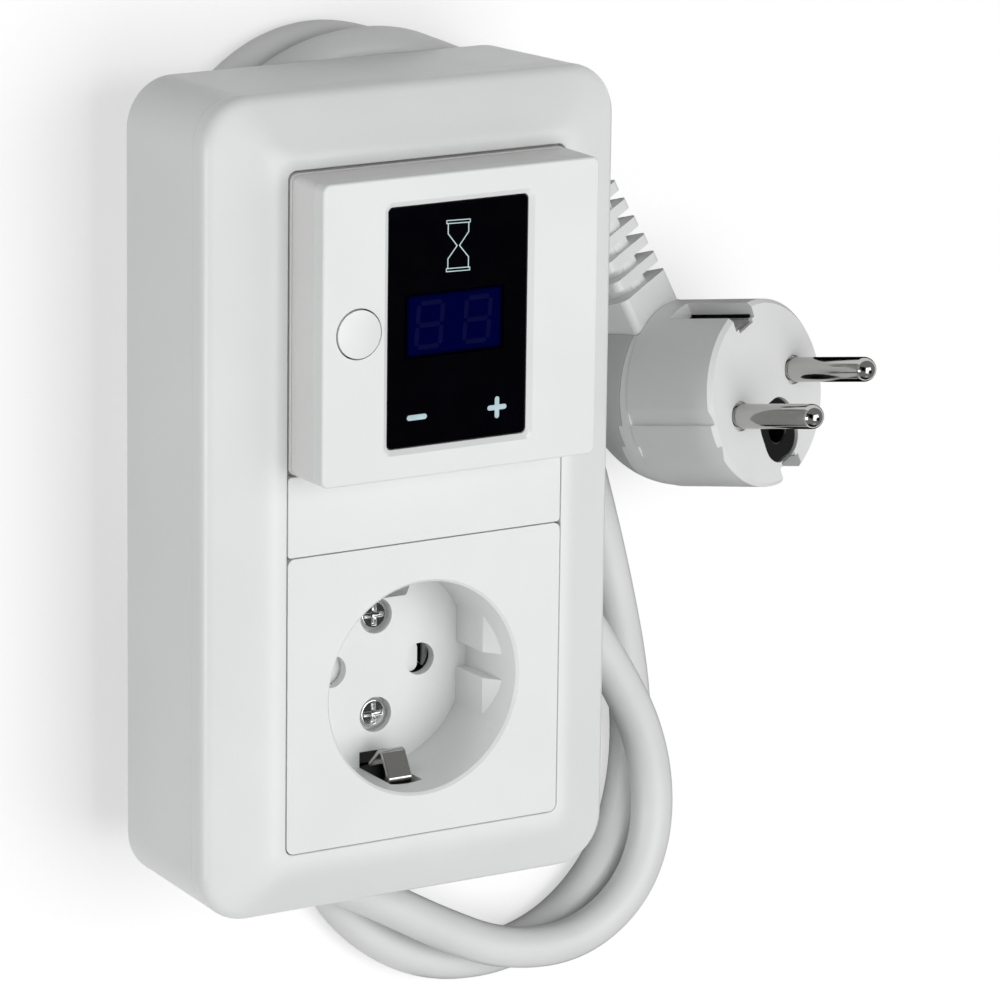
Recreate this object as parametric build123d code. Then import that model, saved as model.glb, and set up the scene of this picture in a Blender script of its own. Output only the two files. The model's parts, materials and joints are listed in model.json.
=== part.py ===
from build123d import *
import math
import os
import numpy as np

# A timer light switch in a surface box, with a socket outlet below the timer and a mains lead with its plug.
# The unit lies on its back on its own coiled lead. X runs to the right, Y to the top end, Z out of the front.
# While it is modelled, Z = 0 is the back of the box. Everything is moved down by half the unit's depth when it
# is written, so that the finished part has its origin in the middle of the unit.

# Driving dimensions of the unit
MODULE_WIDTH = 57.8
MODULE_HEIGHT = 55.6
MODULE_PITCH = 71.0
MODULE_GAP = 0.2
MODULE_CORNER = 1.4
RIM_WIDTH = 3.05
SLOPE_RUN_SIDE = 11.15
SLOPE_RUN_END = 10.15
SLOPE_RISE = 6.0
EDGE_RISE = 4.3
EDGE_DRAFT = 0.3
BOX_DEPTH = 26.5
BOX_TAPER = 0.8
BOX_WALL = 2.2
BACK_WALL = 2.5
BACK_BEVEL = 0.6
EDGE_CORNER = 9.5
RIM_CORNER = 3.0
OPENING_CORNER = 1.6

# Clearances shared by many pieces
FIT = 0.15
GAP = 0.3
OVERRUN = 1.0

# The frame: its skin, the tongue that enters the box, and its snap beads
FRAME_SKIN = 2.0
TONGUE_DEPTH = 3.5
TONGUE_WALL = 1.4
CAVITY_RISE = 2.5
BEAD_LENGTH = 10.0
BEAD_PROUD = 0.5
BEAD_HEIGHT = 1.2
BEAD_DROP = 2.2
BEAD_OFFSET = 41.0

# Posts, steel yokes and their screws
POST_RADIUS = 3.4
POST_TOP = 22.6
SCREW_SPACING = 62.0
YOKE_SIZE = 70.4
YOKE_THICK = 1.0
YOKE_CORNER = 3.0
SCREW_RADIUS = 1.45
SCREW_HEAD_RADIUS = 2.8
SCREW_HEAD_HEIGHT = 2.0
SCREW_LENGTH = 9.0
SCREW_SLOT_WIDTH = 0.8
SCREW_SLOT_DEPTH = 0.7

# Four wall screw holes in the back of the box
WALL_HOLE_RADIUS = 2.4
WALL_HOLE_SPACING_X = 54.0
WALL_HOLE_SPACING_Y = 134.0
WALL_HOLE_BOSS = 4.4
WALL_HOLE_BOSS_HEIGHT = 1.2

# The socket outlet: its round well, side guides, pin holes and screws
WELL_RADIUS = 20.0
WELL_DEPTH = 17.5
WELL_TAPER = 0.35
WELL_WALL = 1.6
WELL_FLOOR = 2.0
WELL_LIP = 0.5
GUIDE_FLAT = 17.4
GUIDE_CHANNEL = 5.0
GUIDE_TOP_DROP = 5.0
GUIDE_SLANT = 3.0
PIN_PITCH = 19.0
PIN_HOLE_RADIUS = 3.1
COVER_SCREW_PITCH = 19.0
COVER_SCREW_WELL = 3.4
COVER_SCREW_BOSS = 4.0
COVER_SCREW_BOSS_DROP = 3.0
COVER_SCREW_SEAT = 0.8
PLATE_THICK = 2.2
FLANGE_REACH = 1.9
FLANGE_THICK = 1.6
EARTH_WINDOW_WIDTH = 6.8
EARTH_WINDOW_INSET = 3.6
EARTH_WINDOW_HEIGHT = 11.5

# The shutter that turns about a stud under the floor of the well
STUD_RADIUS = 2.0
SHUTTER_THICK = 1.5
SHUTTER_HUB = 4.2
SHUTTER_REACH = 10.3
SHUTTER_LOBE = 2.9

# The insulating base of the socket, its contacts and terminals
BASE_SIDE_GAP = 2.6
BASE_HEIGHT = 46.0
BASE_LIFT = 1.4
BASE_CORNER = 4.0
BASE_POCKET_GAP = 0.6
CONTACT_CHAMBER_X = 7.6
CONTACT_CHAMBER_Y = 9.0
CHAMBER_FLOOR = 1.6
STRIP_THICK = 0.8
CONTACT_WIDTH = 7.0
CONTACT_GRIP = 4.4
CONTACT_FLARE = 1.0
CONTACT_HEIGHT = 9.0
TERMINAL_LENGTH = 6.0
TERMINAL_WIDTH = 7.0
TERMINAL_HEIGHT = 7.0
TERMINAL_INSET = 1.4
TERMINAL_BORE = 1.5
TERMINAL_SCREW_RADIUS = 1.3
TERMINAL_SCREW_HEAD = 2.1
EARTH_WIDTH = 5.0
EARTH_OUT = 20.6
EARTH_RISE = 9.6
EARTH_NOSE_RISE = 6.0
EARTH_TUCK_RISE = 1.9
EARTH_TUCK = 18.3
EARTH_NOSE = 14.4
EARTH_BEND = 0.9

# The filler strip between the two modules
STRIP_HEIGHT = 15.0
STRIP_LEG_LENGTH = 30.0
STRIP_LEG_DROP = 3.2
STRIP_LEG_THICK = 1.2
STRIP_LEG_INSET = 2.2

# The timer: body, bezel, glass, button
TIMER_FRONT = 48.6
TIMER_WIDTH = 57.6
TIMER_HEIGHT = 55.2
BEZEL_THICK = 3.3
BEZEL_CORNER = 1.5
BEZEL_EDGE = 0.5
BEZEL_SKIRT = 1.3
TIMER_WALL = 1.8
TIMER_REAR_SIZE = 48.0
TIMER_REAR_Z = 8.0
TIMER_FOOT_HEIGHT = 1.3
TIMER_FOOT_INSET = 0.4
GLASS_WIDTH = 29.0
GLASS_HEIGHT = 44.0
GLASS_THICK = 1.5
GLASS_SINK = 0.7
GLASS_OFFSET_X = -0.5
GLASS_CORNER = 1.0
GLASS_CHAMFER = 1.0
GLASS_LEDGE = 1.6
BUTTON_X = -21.4
BUTTON_RADIUS = 4.4
BUTTON_GAP = 0.3
BUTTON_PROUD = 0.2
BUTTON_DOME = 0.4
BUTTON_TRAVEL = 0.6
BUTTON_FLANGE = 0.8
BUTTON_FLANGE_THICK = 1.2

# The electronics inside the timer
PART_MARGIN = 0.9
BOARD_THICK = 1.6
FRONT_BOARD_Z = 38.0
POWER_BOARD_Z = 12.0
BOARD_POST = 4.0
DISPLAY_WIDTH = 19.2
DISPLAY_HEIGHT = 10.6
DISPLAY_X = -1.2
ICON_WIDTH = 5.2
ICON_HEIGHT = 9.0
ICON_X = -0.6
ICON_MARGIN = 2.2
KEY_MARGIN = 0.5
KEY_X = 8.4
KEY_PAD_RADIUS = 3.2
SWITCH_SIZE = 6.2
SWITCH_HEIGHT = 2.6
PLUNGER_RADIUS = 1.6
RELAY_WIDTH = 15.5
RELAY_LENGTH = 19.0
RELAY_HEIGHT = 15.3
CAPACITOR_RADIUS = 5.0
CAPACITOR_HEIGHT = 16.0
CORE_WIDTH = 18.0
CORE_LENGTH = 15.0
CORE_HEIGHT = 11.0
HEADER_PITCH = 2.54
HEADER_PIN = 0.64
HEADER_COUNT = 6
HEADER_BODY = 2.5
TERMINAL_BLOCK_LENGTH = 36.0
TERMINAL_BLOCK_DEPTH = 4.8
TERMINAL_BLOCK_HEIGHT = 9.0
TERMINAL_BLOCK_PITCH = 9.0

# The lead, its gland and the clamp inside the box
CORD_DIAMETER = 8.2
GLAND_X = 1.2
GLAND_Y = -67.2
GLAND_NECK_RADIUS = 5.2
GLAND_COLLAR_RADIUS = 6.3
GLAND_COLLAR_THICK = 1.0
GLAND_FLANGE_SIZE = 15.0
GLAND_FLANGE_THICK = 1.8
GLAND_BORE_GAP = 0.1
SHEATH_INSIDE = 1.5
CLAMP_LENGTH = 27.0
CLAMP_WIDTH = 11.6
CLAMP_THICK = 2.2
CLAMP_SCREW_SPACING = 21.0
CLAMP_SCREW_RADIUS = 1.2
CLAMP_SCREW_HEAD = 1.8
CLAMP_BOSS_RADIUS = 2.4
WIRE_RADIUS = 1.2
WIRE_BEND = 3.0

# The plug, in its own axes: X along the two pins, Y to the side of the cord, Z the way the pins point
PLUG_FACE_CENTRE = (85.6, 7.2, 20.7)
PIN_WAY_SHARES = (0.334, 0.154, 0.930)
PIN_ROW_SHARES = (0.882, 0.312, -0.354)
PLUG_RADIUS = 18.0
PLUG_FLAT = 17.2
PLUG_RIB_WIDTH = 4.6
PLUG_SEAM_DEPTH = 20.0
PLUG_SEAM_STEP = 6.0
PLUG_BACK_DEPTH = 35.6
PLUG_BACK_RADIUS = 11.2
PLUG_BACK_SHIFT = 5.0
PLUG_EDGE = 0.8
PLUG_PIN_RADIUS = 2.4
PLUG_PIN_LENGTH = 19.0
PLUG_PIN_ROOT = 9.0
PLUG_PIN_ROOT_RADIUS = 1.9
PLUG_PIN_HOLE_RADIUS = 2.0
PLUG_PIN_SHOULDER = 0.4
PIN_RING_GAP = 0.45
PIN_RING_DEPTH = 0.8
EARTH_GROOVE_WIDTH = 6.4
EARTH_GROOVE_DEPTH = 3.2
EARTH_GROOVE_LENGTH = 15.0
EARTH_CLIP_WIDTH = 4.6
EARTH_CLIP_THICK = 0.8
INSERT_WIDTH = 10.8
INSERT_HEIGHT = 12.0
INSERT_CORNER = 4.4
INSERT_DOWN = 8.0
INSERT_DEPTH = 9.0
INSERT_SINK = 0.5
INSERT_BORE = 2.45

# The strain relief on the plug: a collar, then ribs on a sleeve
RELIEF_DEPTH = 26.0
RELIEF_OUT = 15.3
RELIEF_TILT_SHARE = 0.139
RELIEF_WIDTH = 14.6
RELIEF_THICK = 12.6
RELIEF_COLLAR = 7.4
RELIEF_ROOT = 4.0
RELIEF_RIB = 2.0
RELIEF_PITCH = 4.0
RELIEF_RIBS = 7
RELIEF_TAPER = 0.22
RELIEF_SLEEVE = 4.9
RELIEF_BAR = 4.0
RELIEF_CORNER = 1.6

# The two layers of the lead under the box, and the table under it
LAYER_GAP = 0.5
REST_FLAT = 0.5
CORD_RADIUS = CORD_DIAMETER / 2
LAYER_2_Z = -GAP - CORD_RADIUS
LAYER_1_Z = LAYER_2_Z - CORD_DIAMETER - LAYER_GAP
TABLE_Z = LAYER_1_Z - CORD_RADIUS + REST_FLAT

# The wound turns under the box: the first oval, and how far each turn lies inside the last
COIL_CENTRE_X = 10.3
COIL_CENTRE_Y = 2.6
COIL_HALF_WIDTH = 39.5
COIL_HALF_LENGTH = 63.5
COIL_STEP = 11.5
COIL_TURNS = 2
COIL_SAMPLES = 600
SMALL_TURN = 1e-4

# Sizes worked out from the ones above
BORE_SIZE_X = MODULE_WIDTH + 2 * MODULE_GAP
BORE_SIZE_Y = MODULE_PITCH + MODULE_HEIGHT + 2 * MODULE_GAP
RIM_SIZE_X = BORE_SIZE_X + 2 * RIM_WIDTH
RIM_SIZE_Y = BORE_SIZE_Y + 2 * RIM_WIDTH
EDGE_SIZE_X = RIM_SIZE_X + 2 * SLOPE_RUN_SIDE
EDGE_SIZE_Y = RIM_SIZE_Y + 2 * SLOPE_RUN_END
BOX_SIZE_X = EDGE_SIZE_X - 2 * EDGE_DRAFT
BOX_SIZE_Y = EDGE_SIZE_Y - 2 * EDGE_DRAFT
BOX_CORNER = EDGE_CORNER - EDGE_DRAFT
INNER_X = BOX_SIZE_X - 2 * BOX_WALL
INNER_Y = BOX_SIZE_Y - 2 * BOX_WALL
INNER_CORNER = BOX_CORNER - BOX_WALL
RIM_Z = BOX_DEPTH + EDGE_RISE + SLOPE_RISE
SOCKET_Y = -MODULE_PITCH / 2
TIMER_Y = MODULE_PITCH / 2
WELL_FLOOR_Z = RIM_Z - WELL_DEPTH
WELL_UNDER_Z = WELL_FLOOR_Z - WELL_FLOOR
YOKE_TOP = POST_TOP + YOKE_THICK
FLANGE_TOP = RIM_Z - FRAME_SKIN - GAP
BASE_FLOOR_Z = BACK_WALL + BASE_LIFT
SHUTTER_Z = WELL_UNDER_Z - GAP - SHUTTER_THICK
BASE_TOP_Z = SHUTTER_Z - GAP
BEZEL_Z = TIMER_FRONT - BEZEL_THICK
GLASS_TOP = TIMER_FRONT - GLASS_SINK
GLASS_Z = GLASS_TOP - GLASS_THICK
BUTTON_TOP = TIMER_FRONT + BUTTON_PROUD + BUTTON_DOME
UNIT_DEPTH = BUTTON_TOP
BOARD_TOP = FRONT_BOARD_Z + BOARD_THICK
BASE_WIDTH = SCREW_SPACING - 2 * POST_RADIUS - 2 * BASE_SIDE_GAP
KEY_DOWN = GLASS_HEIGHT / 2 - GLASS_LEDGE - KEY_PAD_RADIUS - KEY_MARGIN
ICON_UP = GLASS_HEIGHT / 2 - GLASS_LEDGE - ICON_HEIGHT / 2 - ICON_MARGIN
REAR_HALF = TIMER_REAR_SIZE / 2 - TIMER_WALL - PART_MARGIN
CLAMP_Z = BACK_WALL + GLAND_FLANGE_THICK
CLAMP_TOP = CLAMP_Z + CLAMP_THICK
SHEATH_TOP = CLAMP_TOP + SHEATH_INSIDE
WIRE_Z = TIMER_REAR_Z + TERMINAL_BLOCK_HEIGHT / 2

parts = {}


def rounded(width, height, corner, z, x=0.0, y=0.0):
    """A rounded rectangle at a height."""
    return Pos(x, y, z) * RectangleRounded(width, height, corner)


def slab(width, height, corner, low, high, x=0.0, y=0.0):
    """A rounded rectangle raised from one height to another."""
    return extrude(rounded(width, height, corner, low, x, y), high - low)


def block(width, height, low, high, x=0.0, y=0.0):
    """A square-edged block between two heights."""
    return Pos(x, y, (low + high) / 2) * Box(width, height, high - low)


def rod(radius, low, high, x=0.0, y=0.0):
    """A round rod along Z between two heights."""
    return Pos(x, y, (low + high) / 2) * Cylinder(radius, high - low)


def rod_x(radius, start, end, y, z):
    """A round rod along X."""
    return Pos((start + end) / 2, y, z) * Rot(0, 90, 0) * Cylinder(radius, end - start)


def rod_y(radius, start, end, x, z):
    """A round rod along Y."""
    return Pos(x, (start + end) / 2, z) * Rot(90, 0, 0) * Cylinder(radius, end - start)


def group(*shapes):
    """Separate solids that share a node."""
    return Compound([solid for shape in shapes for solid in shape.solids()])


def screw(x, y, seat, radius, head_radius, head_height, length):
    """A pan-head screw with a cross slot, its head above the seat."""
    head = rod(head_radius, seat, seat + head_height, x, y)
    head = fillet(head.edges().group_by(Axis.Z)[-1], head_height / 4)
    slot_low = seat + head_height - SCREW_SLOT_DEPTH
    slot_top = seat + head_height + OVERRUN
    for width, height in ((1.4 * head_radius, SCREW_SLOT_WIDTH), (SCREW_SLOT_WIDTH, 1.4 * head_radius)):
        head -= block(width, height, slot_low, slot_top, x, y)
    return head + rod(radius, seat - length, seat, x, y)


def screw_places():
    """Where the yoke screws stand: two beside each module."""
    return [(side * SCREW_SPACING / 2, y) for y in (SOCKET_Y, TIMER_Y) for side in (-1, 1)]


def bead_places():
    """Where the snap beads sit, two on each long side."""
    return [(side, y) for side in (-1, 1) for y in (-BEAD_OFFSET, BEAD_OFFSET)]


def back_box():
    """The open tray against the wall, with its posts, wall holes, bead pockets and the gland's hole."""
    foot_x, foot_y = BOX_SIZE_X - 2 * BOX_TAPER, BOX_SIZE_Y - 2 * BOX_TAPER
    outer = loft(
        [
            rounded(foot_x - 2 * BACK_BEVEL, foot_y - 2 * BACK_BEVEL, BOX_CORNER - BACK_BEVEL, 0),
            rounded(foot_x, foot_y, BOX_CORNER, BACK_BEVEL),
            rounded(BOX_SIZE_X, BOX_SIZE_Y, BOX_CORNER, BOX_DEPTH),
        ],
        ruled=True,
    )
    inner = loft(
        [
            rounded(INNER_X - 2 * BOX_TAPER, INNER_Y - 2 * BOX_TAPER, INNER_CORNER, BACK_WALL),
            rounded(INNER_X, INNER_Y, INNER_CORNER, BOX_DEPTH - TONGUE_DEPTH - OVERRUN),
        ],
        ruled=True,
    )
    mouth = slab(INNER_X, INNER_Y, INNER_CORNER, BOX_DEPTH - TONGUE_DEPTH - OVERRUN, BOX_DEPTH + OVERRUN)
    box = outer - inner - mouth
    for x, y in screw_places():
        box += rod(POST_RADIUS, BACK_WALL, POST_TOP, x, y)
        box -= rod(SCREW_RADIUS + FIT, POST_TOP - SCREW_LENGTH, POST_TOP + OVERRUN, x, y)
    for x in (-1, 1):
        for y in (-1, 1):
            hole_x, hole_y = x * WALL_HOLE_SPACING_X / 2, y * WALL_HOLE_SPACING_Y / 2
            box += rod(WALL_HOLE_BOSS, BACK_WALL, BACK_WALL + WALL_HOLE_BOSS_HEIGHT, hole_x, hole_y)
            box -= rod(WALL_HOLE_RADIUS, -OVERRUN, BACK_WALL + WALL_HOLE_BOSS_HEIGHT + OVERRUN, hole_x, hole_y)
    for side, y in bead_places():
        pocket_z = BOX_DEPTH - BEAD_DROP
        box -= block(
            2 * (BEAD_PROUD + FIT), BEAD_LENGTH + 2 * GAP, pocket_z - BEAD_HEIGHT / 2 - FIT,
            pocket_z + BEAD_HEIGHT / 2 + FIT, side * INNER_X / 2, y,
        )
    for side in (-1, 1):
        boss_x = GLAND_X + side * CLAMP_SCREW_SPACING / 2
        box += rod(CLAMP_BOSS_RADIUS, BACK_WALL, CLAMP_Z, boss_x, GLAND_Y)
        box -= rod(CLAMP_SCREW_RADIUS + FIT, BACK_WALL, CLAMP_Z + OVERRUN, boss_x, GLAND_Y)
    box -= rod(GLAND_COLLAR_RADIUS + FIT, -OVERRUN, GLAND_COLLAR_THICK + FIT, GLAND_X, GLAND_Y)
    return box - rod(GLAND_NECK_RADIUS + FIT, -OVERRUN, BACK_WALL + OVERRUN, GLAND_X, GLAND_Y)


def cover_frame():
    """The sloped double frame, with the long opening for both modules and a tongue that snaps into the box."""
    outer = loft(
        [
            rounded(BOX_SIZE_X, BOX_SIZE_Y, BOX_CORNER, BOX_DEPTH),
            rounded(EDGE_SIZE_X, EDGE_SIZE_Y, EDGE_CORNER, BOX_DEPTH + EDGE_RISE),
            rounded(RIM_SIZE_X, RIM_SIZE_Y, RIM_CORNER, RIM_Z),
        ],
        ruled=True,
    )
    tongue_x, tongue_y = INNER_X - 2 * FIT, INNER_Y - 2 * FIT
    tongue_corner = INNER_CORNER - FIT
    tongue = slab(tongue_x, tongue_y, tongue_corner, BOX_DEPTH - TONGUE_DEPTH, BOX_DEPTH)
    cavity_x, cavity_y = tongue_x - 2 * TONGUE_WALL, tongue_y - 2 * TONGUE_WALL
    cavity_corner = tongue_corner - TONGUE_WALL
    cavity_z = BOX_DEPTH + CAVITY_RISE
    cavity = slab(cavity_x, cavity_y, cavity_corner, BOX_DEPTH - TONGUE_DEPTH - OVERRUN, cavity_z)
    cavity_roof = loft(
        [
            rounded(cavity_x, cavity_y, cavity_corner, cavity_z),
            rounded(RIM_SIZE_X - FRAME_SKIN, RIM_SIZE_Y - FRAME_SKIN, RIM_CORNER, RIM_Z - FRAME_SKIN),
        ],
        ruled=True,
    )
    opening = slab(BORE_SIZE_X, BORE_SIZE_Y, OPENING_CORNER, BOX_DEPTH, RIM_Z + OVERRUN)
    frame = outer + tongue - cavity - cavity_roof - opening
    for side, y in bead_places():
        bead_z = BOX_DEPTH - BEAD_DROP
        bead_half = BEAD_HEIGHT / 2
        bead = Pos(side * tongue_x / 2, y, bead_z) * Rot(90, 0, 0) * extrude(
            Polygon((0, -bead_half), (side * BEAD_PROUD, 0), (0, bead_half), align=None),
            BEAD_LENGTH / 2, both=True,
        )
        frame += bead
    return frame


def yoke(centre_y, hole):
    """A steel plate across a module, screwed to two posts, with a hole for what passes through it."""
    plate = slab(YOKE_SIZE, YOKE_SIZE, YOKE_CORNER, POST_TOP, YOKE_TOP, 0, centre_y)
    for side in (-1, 1):
        x = side * SCREW_SPACING / 2
        slot = Pos(x, centre_y, POST_TOP - OVERRUN) * SlotOverall(
            4 * SCREW_RADIUS, 2 * (SCREW_RADIUS + GAP), rotation=90,
        )
        plate -= extrude(slot, YOKE_THICK + 2 * OVERRUN)
        lug = side * (SCREW_SPACING / 2 + YOKE_SIZE / 2) / 2
        plate -= rod(SCREW_RADIUS, POST_TOP - OVERRUN, YOKE_TOP + OVERRUN, lug, centre_y + YOKE_SIZE / 3)
        plate -= rod(SCREW_RADIUS, POST_TOP - OVERRUN, YOKE_TOP + OVERRUN, lug, centre_y - YOKE_SIZE / 3)
    return plate - hole


def yoke_screws(centre_y):
    """The two screws that hold a yoke down."""
    return group(*[
        screw(side * SCREW_SPACING / 2, centre_y, YOKE_TOP, SCREW_RADIUS, SCREW_HEAD_RADIUS,
              SCREW_HEAD_HEIGHT, SCREW_LENGTH - OVERRUN)
        for side in (-1, 1)
    ])


def well_space():
    """The hollow of the well: a slightly tapered round pit, less the two pairs of flat side guides."""
    floor_radius = WELL_RADIUS - WELL_TAPER
    pit = Pos(0, SOCKET_Y, (WELL_FLOOR_Z + RIM_Z) / 2) * Cone(floor_radius, WELL_RADIUS, WELL_DEPTH)
    lip = Pos(0, SOCKET_Y, RIM_Z - WELL_LIP / 2) * Cone(WELL_RADIUS, WELL_RADIUS + WELL_LIP, WELL_LIP)
    guide_top = RIM_Z - GUIDE_TOP_DROP
    out = WELL_RADIUS + WELL_WALL
    for side in (-1, 1):
        profile = Plane.XZ * Polygon(
            (side * GUIDE_FLAT, WELL_FLOOR_Z - OVERRUN), (side * GUIDE_FLAT, guide_top - GUIDE_SLANT),
            (side * (WELL_RADIUS - WELL_TAPER), guide_top), (side * out, guide_top),
            (side * out, WELL_FLOOR_Z - OVERRUN), align=None,
        )
        guide = Pos(0, SOCKET_Y, 0) * extrude(profile, out, both=True)
        pit -= guide - block(2 * out, GUIDE_CHANNEL, WELL_FLOOR_Z, RIM_Z, 0, SOCKET_Y)
    return pit + lip


def socket_cover():
    """The socket's front plate with its well, pin holes, screw wells and the windows for the earth contacts."""
    cover = slab(MODULE_WIDTH, MODULE_HEIGHT, MODULE_CORNER, FLANGE_TOP, RIM_Z, 0, SOCKET_Y)
    flange_x = MODULE_WIDTH + 2 * FLANGE_REACH
    flange_y = MODULE_HEIGHT + 2 * FLANGE_REACH - STRIP_LEG_THICK
    cover += slab(flange_x, flange_y, MODULE_CORNER, FLANGE_TOP - FLANGE_THICK, FLANGE_TOP, 0, SOCKET_Y)
    cover += rod(WELL_RADIUS + WELL_WALL, WELL_UNDER_Z, RIM_Z - PLATE_THICK, 0, SOCKET_Y)
    cover -= well_space()
    boss_low = WELL_UNDER_Z - COVER_SCREW_BOSS_DROP
    seat = WELL_UNDER_Z - COVER_SCREW_SEAT
    for side in (-1, 1):
        hole_y = SOCKET_Y + side * COVER_SCREW_PITCH / 2
        cover += rod(COVER_SCREW_BOSS, boss_low, WELL_UNDER_Z, 0, hole_y)
        cover -= rod(COVER_SCREW_WELL, seat, WELL_FLOOR_Z + OVERRUN, 0, hole_y)
        cover -= rod(SCREW_RADIUS + FIT, boss_low - OVERRUN, seat + OVERRUN, 0, hole_y)
        pin_x = side * PIN_PITCH / 2
        cover -= rod(PIN_HOLE_RADIUS, WELL_UNDER_Z - OVERRUN, WELL_FLOOR_Z + OVERRUN, pin_x, SOCKET_Y)
        window_in = WELL_RADIUS - EARTH_WINDOW_INSET
        window_out = WELL_RADIUS + WELL_WALL + OVERRUN
        cover -= block(
            EARTH_WINDOW_WIDTH, window_out - window_in, WELL_UNDER_Z - OVERRUN,
            WELL_FLOOR_Z + EARTH_WINDOW_HEIGHT, 0, SOCKET_Y + side * (window_in + window_out) / 2,
        )
    return cover + rod(STUD_RADIUS, BASE_TOP_Z + GAP / 2, WELL_UNDER_Z, 0, SOCKET_Y)


def cover_screws():
    """The two cross-slot screws in the floor of the well."""
    seat = WELL_UNDER_Z - COVER_SCREW_SEAT
    return group(*[
        screw(0, SOCKET_Y + side * COVER_SCREW_PITCH / 2, seat, SCREW_RADIUS, SCREW_HEAD_RADIUS,
              SCREW_HEAD_HEIGHT, seat - BASE_TOP_Z + SCREW_HEAD_RADIUS)
        for side in (-1, 1)
    ])


def shutter():
    """The disc with two lobes that lies under the pin holes and turns about the stud."""
    disc = rod(SHUTTER_HUB, SHUTTER_Z, SHUTTER_Z + SHUTTER_THICK, 0, SOCKET_Y)
    lobes = slab(
        2 * SHUTTER_REACH, 2 * SHUTTER_LOBE, SHUTTER_LOBE / 2, SHUTTER_Z, SHUTTER_Z + SHUTTER_THICK,
        0, SOCKET_Y,
    )
    return disc + lobes - rod(STUD_RADIUS + GAP, SHUTTER_Z - OVERRUN, WELL_UNDER_Z, 0, SOCKET_Y)


def socket_base():
    """The insulating block behind the well, with a round seat, chambers and slots for the earth strip."""
    base = slab(BASE_WIDTH, BASE_HEIGHT, BASE_CORNER, BASE_FLOOR_Z, POST_TOP, 0, SOCKET_Y)
    base -= rod(WELL_RADIUS + WELL_WALL + BASE_POCKET_GAP, BASE_TOP_Z, POST_TOP + OVERRUN, 0, SOCKET_Y)
    chamber_low = BASE_FLOOR_Z + CHAMBER_FLOOR
    for side in (-1, 1):
        x = side * PIN_PITCH / 2
        base -= block(CONTACT_CHAMBER_X, CONTACT_CHAMBER_Y, chamber_low, BASE_TOP_Z + OVERRUN, x, SOCKET_Y)
        pocket_in = PIN_PITCH / 2
        pocket_out = BASE_WIDTH / 2 + OVERRUN
        base -= block(
            pocket_out - pocket_in, CONTACT_CHAMBER_Y, chamber_low, chamber_low + TERMINAL_HEIGHT + 2 * GAP,
            side * (pocket_in + pocket_out) / 2, SOCKET_Y,
        )
        slot_y = SOCKET_Y + side * EARTH_OUT
        base -= block(
            EARTH_WIDTH + 2 * GAP, STRIP_THICK + 2 * GAP, BASE_FLOOR_Z - OVERRUN, POST_TOP - YOKE_THICK,
            0, slot_y,
        )
        screw_y = SOCKET_Y + side * COVER_SCREW_PITCH / 2
        base -= rod(COVER_SCREW_BOSS + GAP, WELL_UNDER_Z - COVER_SCREW_BOSS_DROP - GAP, POST_TOP, 0, screw_y)
        base -= rod(SCREW_RADIUS + FIT, BASE_FLOOR_Z + CHAMBER_FLOOR, BASE_TOP_Z, 0, screw_y)
    base_foot = SOCKET_Y - BASE_HEIGHT / 2
    return base - rod_y(WIRE_RADIUS + GAP, base_foot - OVERRUN, SOCKET_Y - EARTH_OUT, GLAND_X, WIRE_Z)


def bent_strip(points, width, bend):
    """A sheet metal strip: a line with rounded bends in the XZ plane, given its thickness and width."""
    line = FilletPolyline(*[(x, 0, z) for x, z in points], radius=bend)
    section = Plane(origin=line @ 0, x_dir=(0, 1, 0), z_dir=line % 0) * Rectangle(width, STRIP_THICK)
    return sweep(section, path=line)


def pin_contact(side):
    """A brass contact: two leaves that grip a pin, and a tail that runs out to its clamp block."""
    low = BASE_FLOOR_Z + CHAMBER_FLOOR + GAP
    web = low + STRIP_THICK / 2
    grip = CONTACT_GRIP / 2 + STRIP_THICK / 2
    top = low + CONTACT_HEIGHT
    pinch = top - 2 * CONTACT_FLARE
    leaf = CONTACT_FLARE / 2
    u_shape = bent_strip(
        [(-grip - leaf, top), (-grip + leaf, pinch), (-grip - leaf, web), (grip + leaf, web),
         (grip - leaf, pinch), (grip + leaf, top)],
        CONTACT_WIDTH, CONTACT_FLARE,
    )
    tail_end = BASE_WIDTH / 2 - TERMINAL_INSET - PIN_PITCH / 2
    tail = block(tail_end - grip, CONTACT_WIDTH / 2, low, low + STRIP_THICK, (tail_end + grip) / 2, 0)
    clamp_x = tail_end - TERMINAL_LENGTH / 2
    clamp = block(TERMINAL_LENGTH, TERMINAL_WIDTH, low + STRIP_THICK / 2, low + TERMINAL_HEIGHT, clamp_x, 0)
    clamp -= rod_y(TERMINAL_BORE, -TERMINAL_WIDTH, TERMINAL_WIDTH, clamp_x, low + TERMINAL_HEIGHT / 2)
    clamp -= rod_x(TERMINAL_SCREW_RADIUS + FIT, clamp_x, tail_end + OVERRUN, 0, low + TERMINAL_HEIGHT / 2)
    contact = u_shape + tail + clamp
    if side < 0:
        contact = mirror(contact, about=Plane.YZ)
    return Pos(side * PIN_PITCH / 2, SOCKET_Y, 0) * contact


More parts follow.
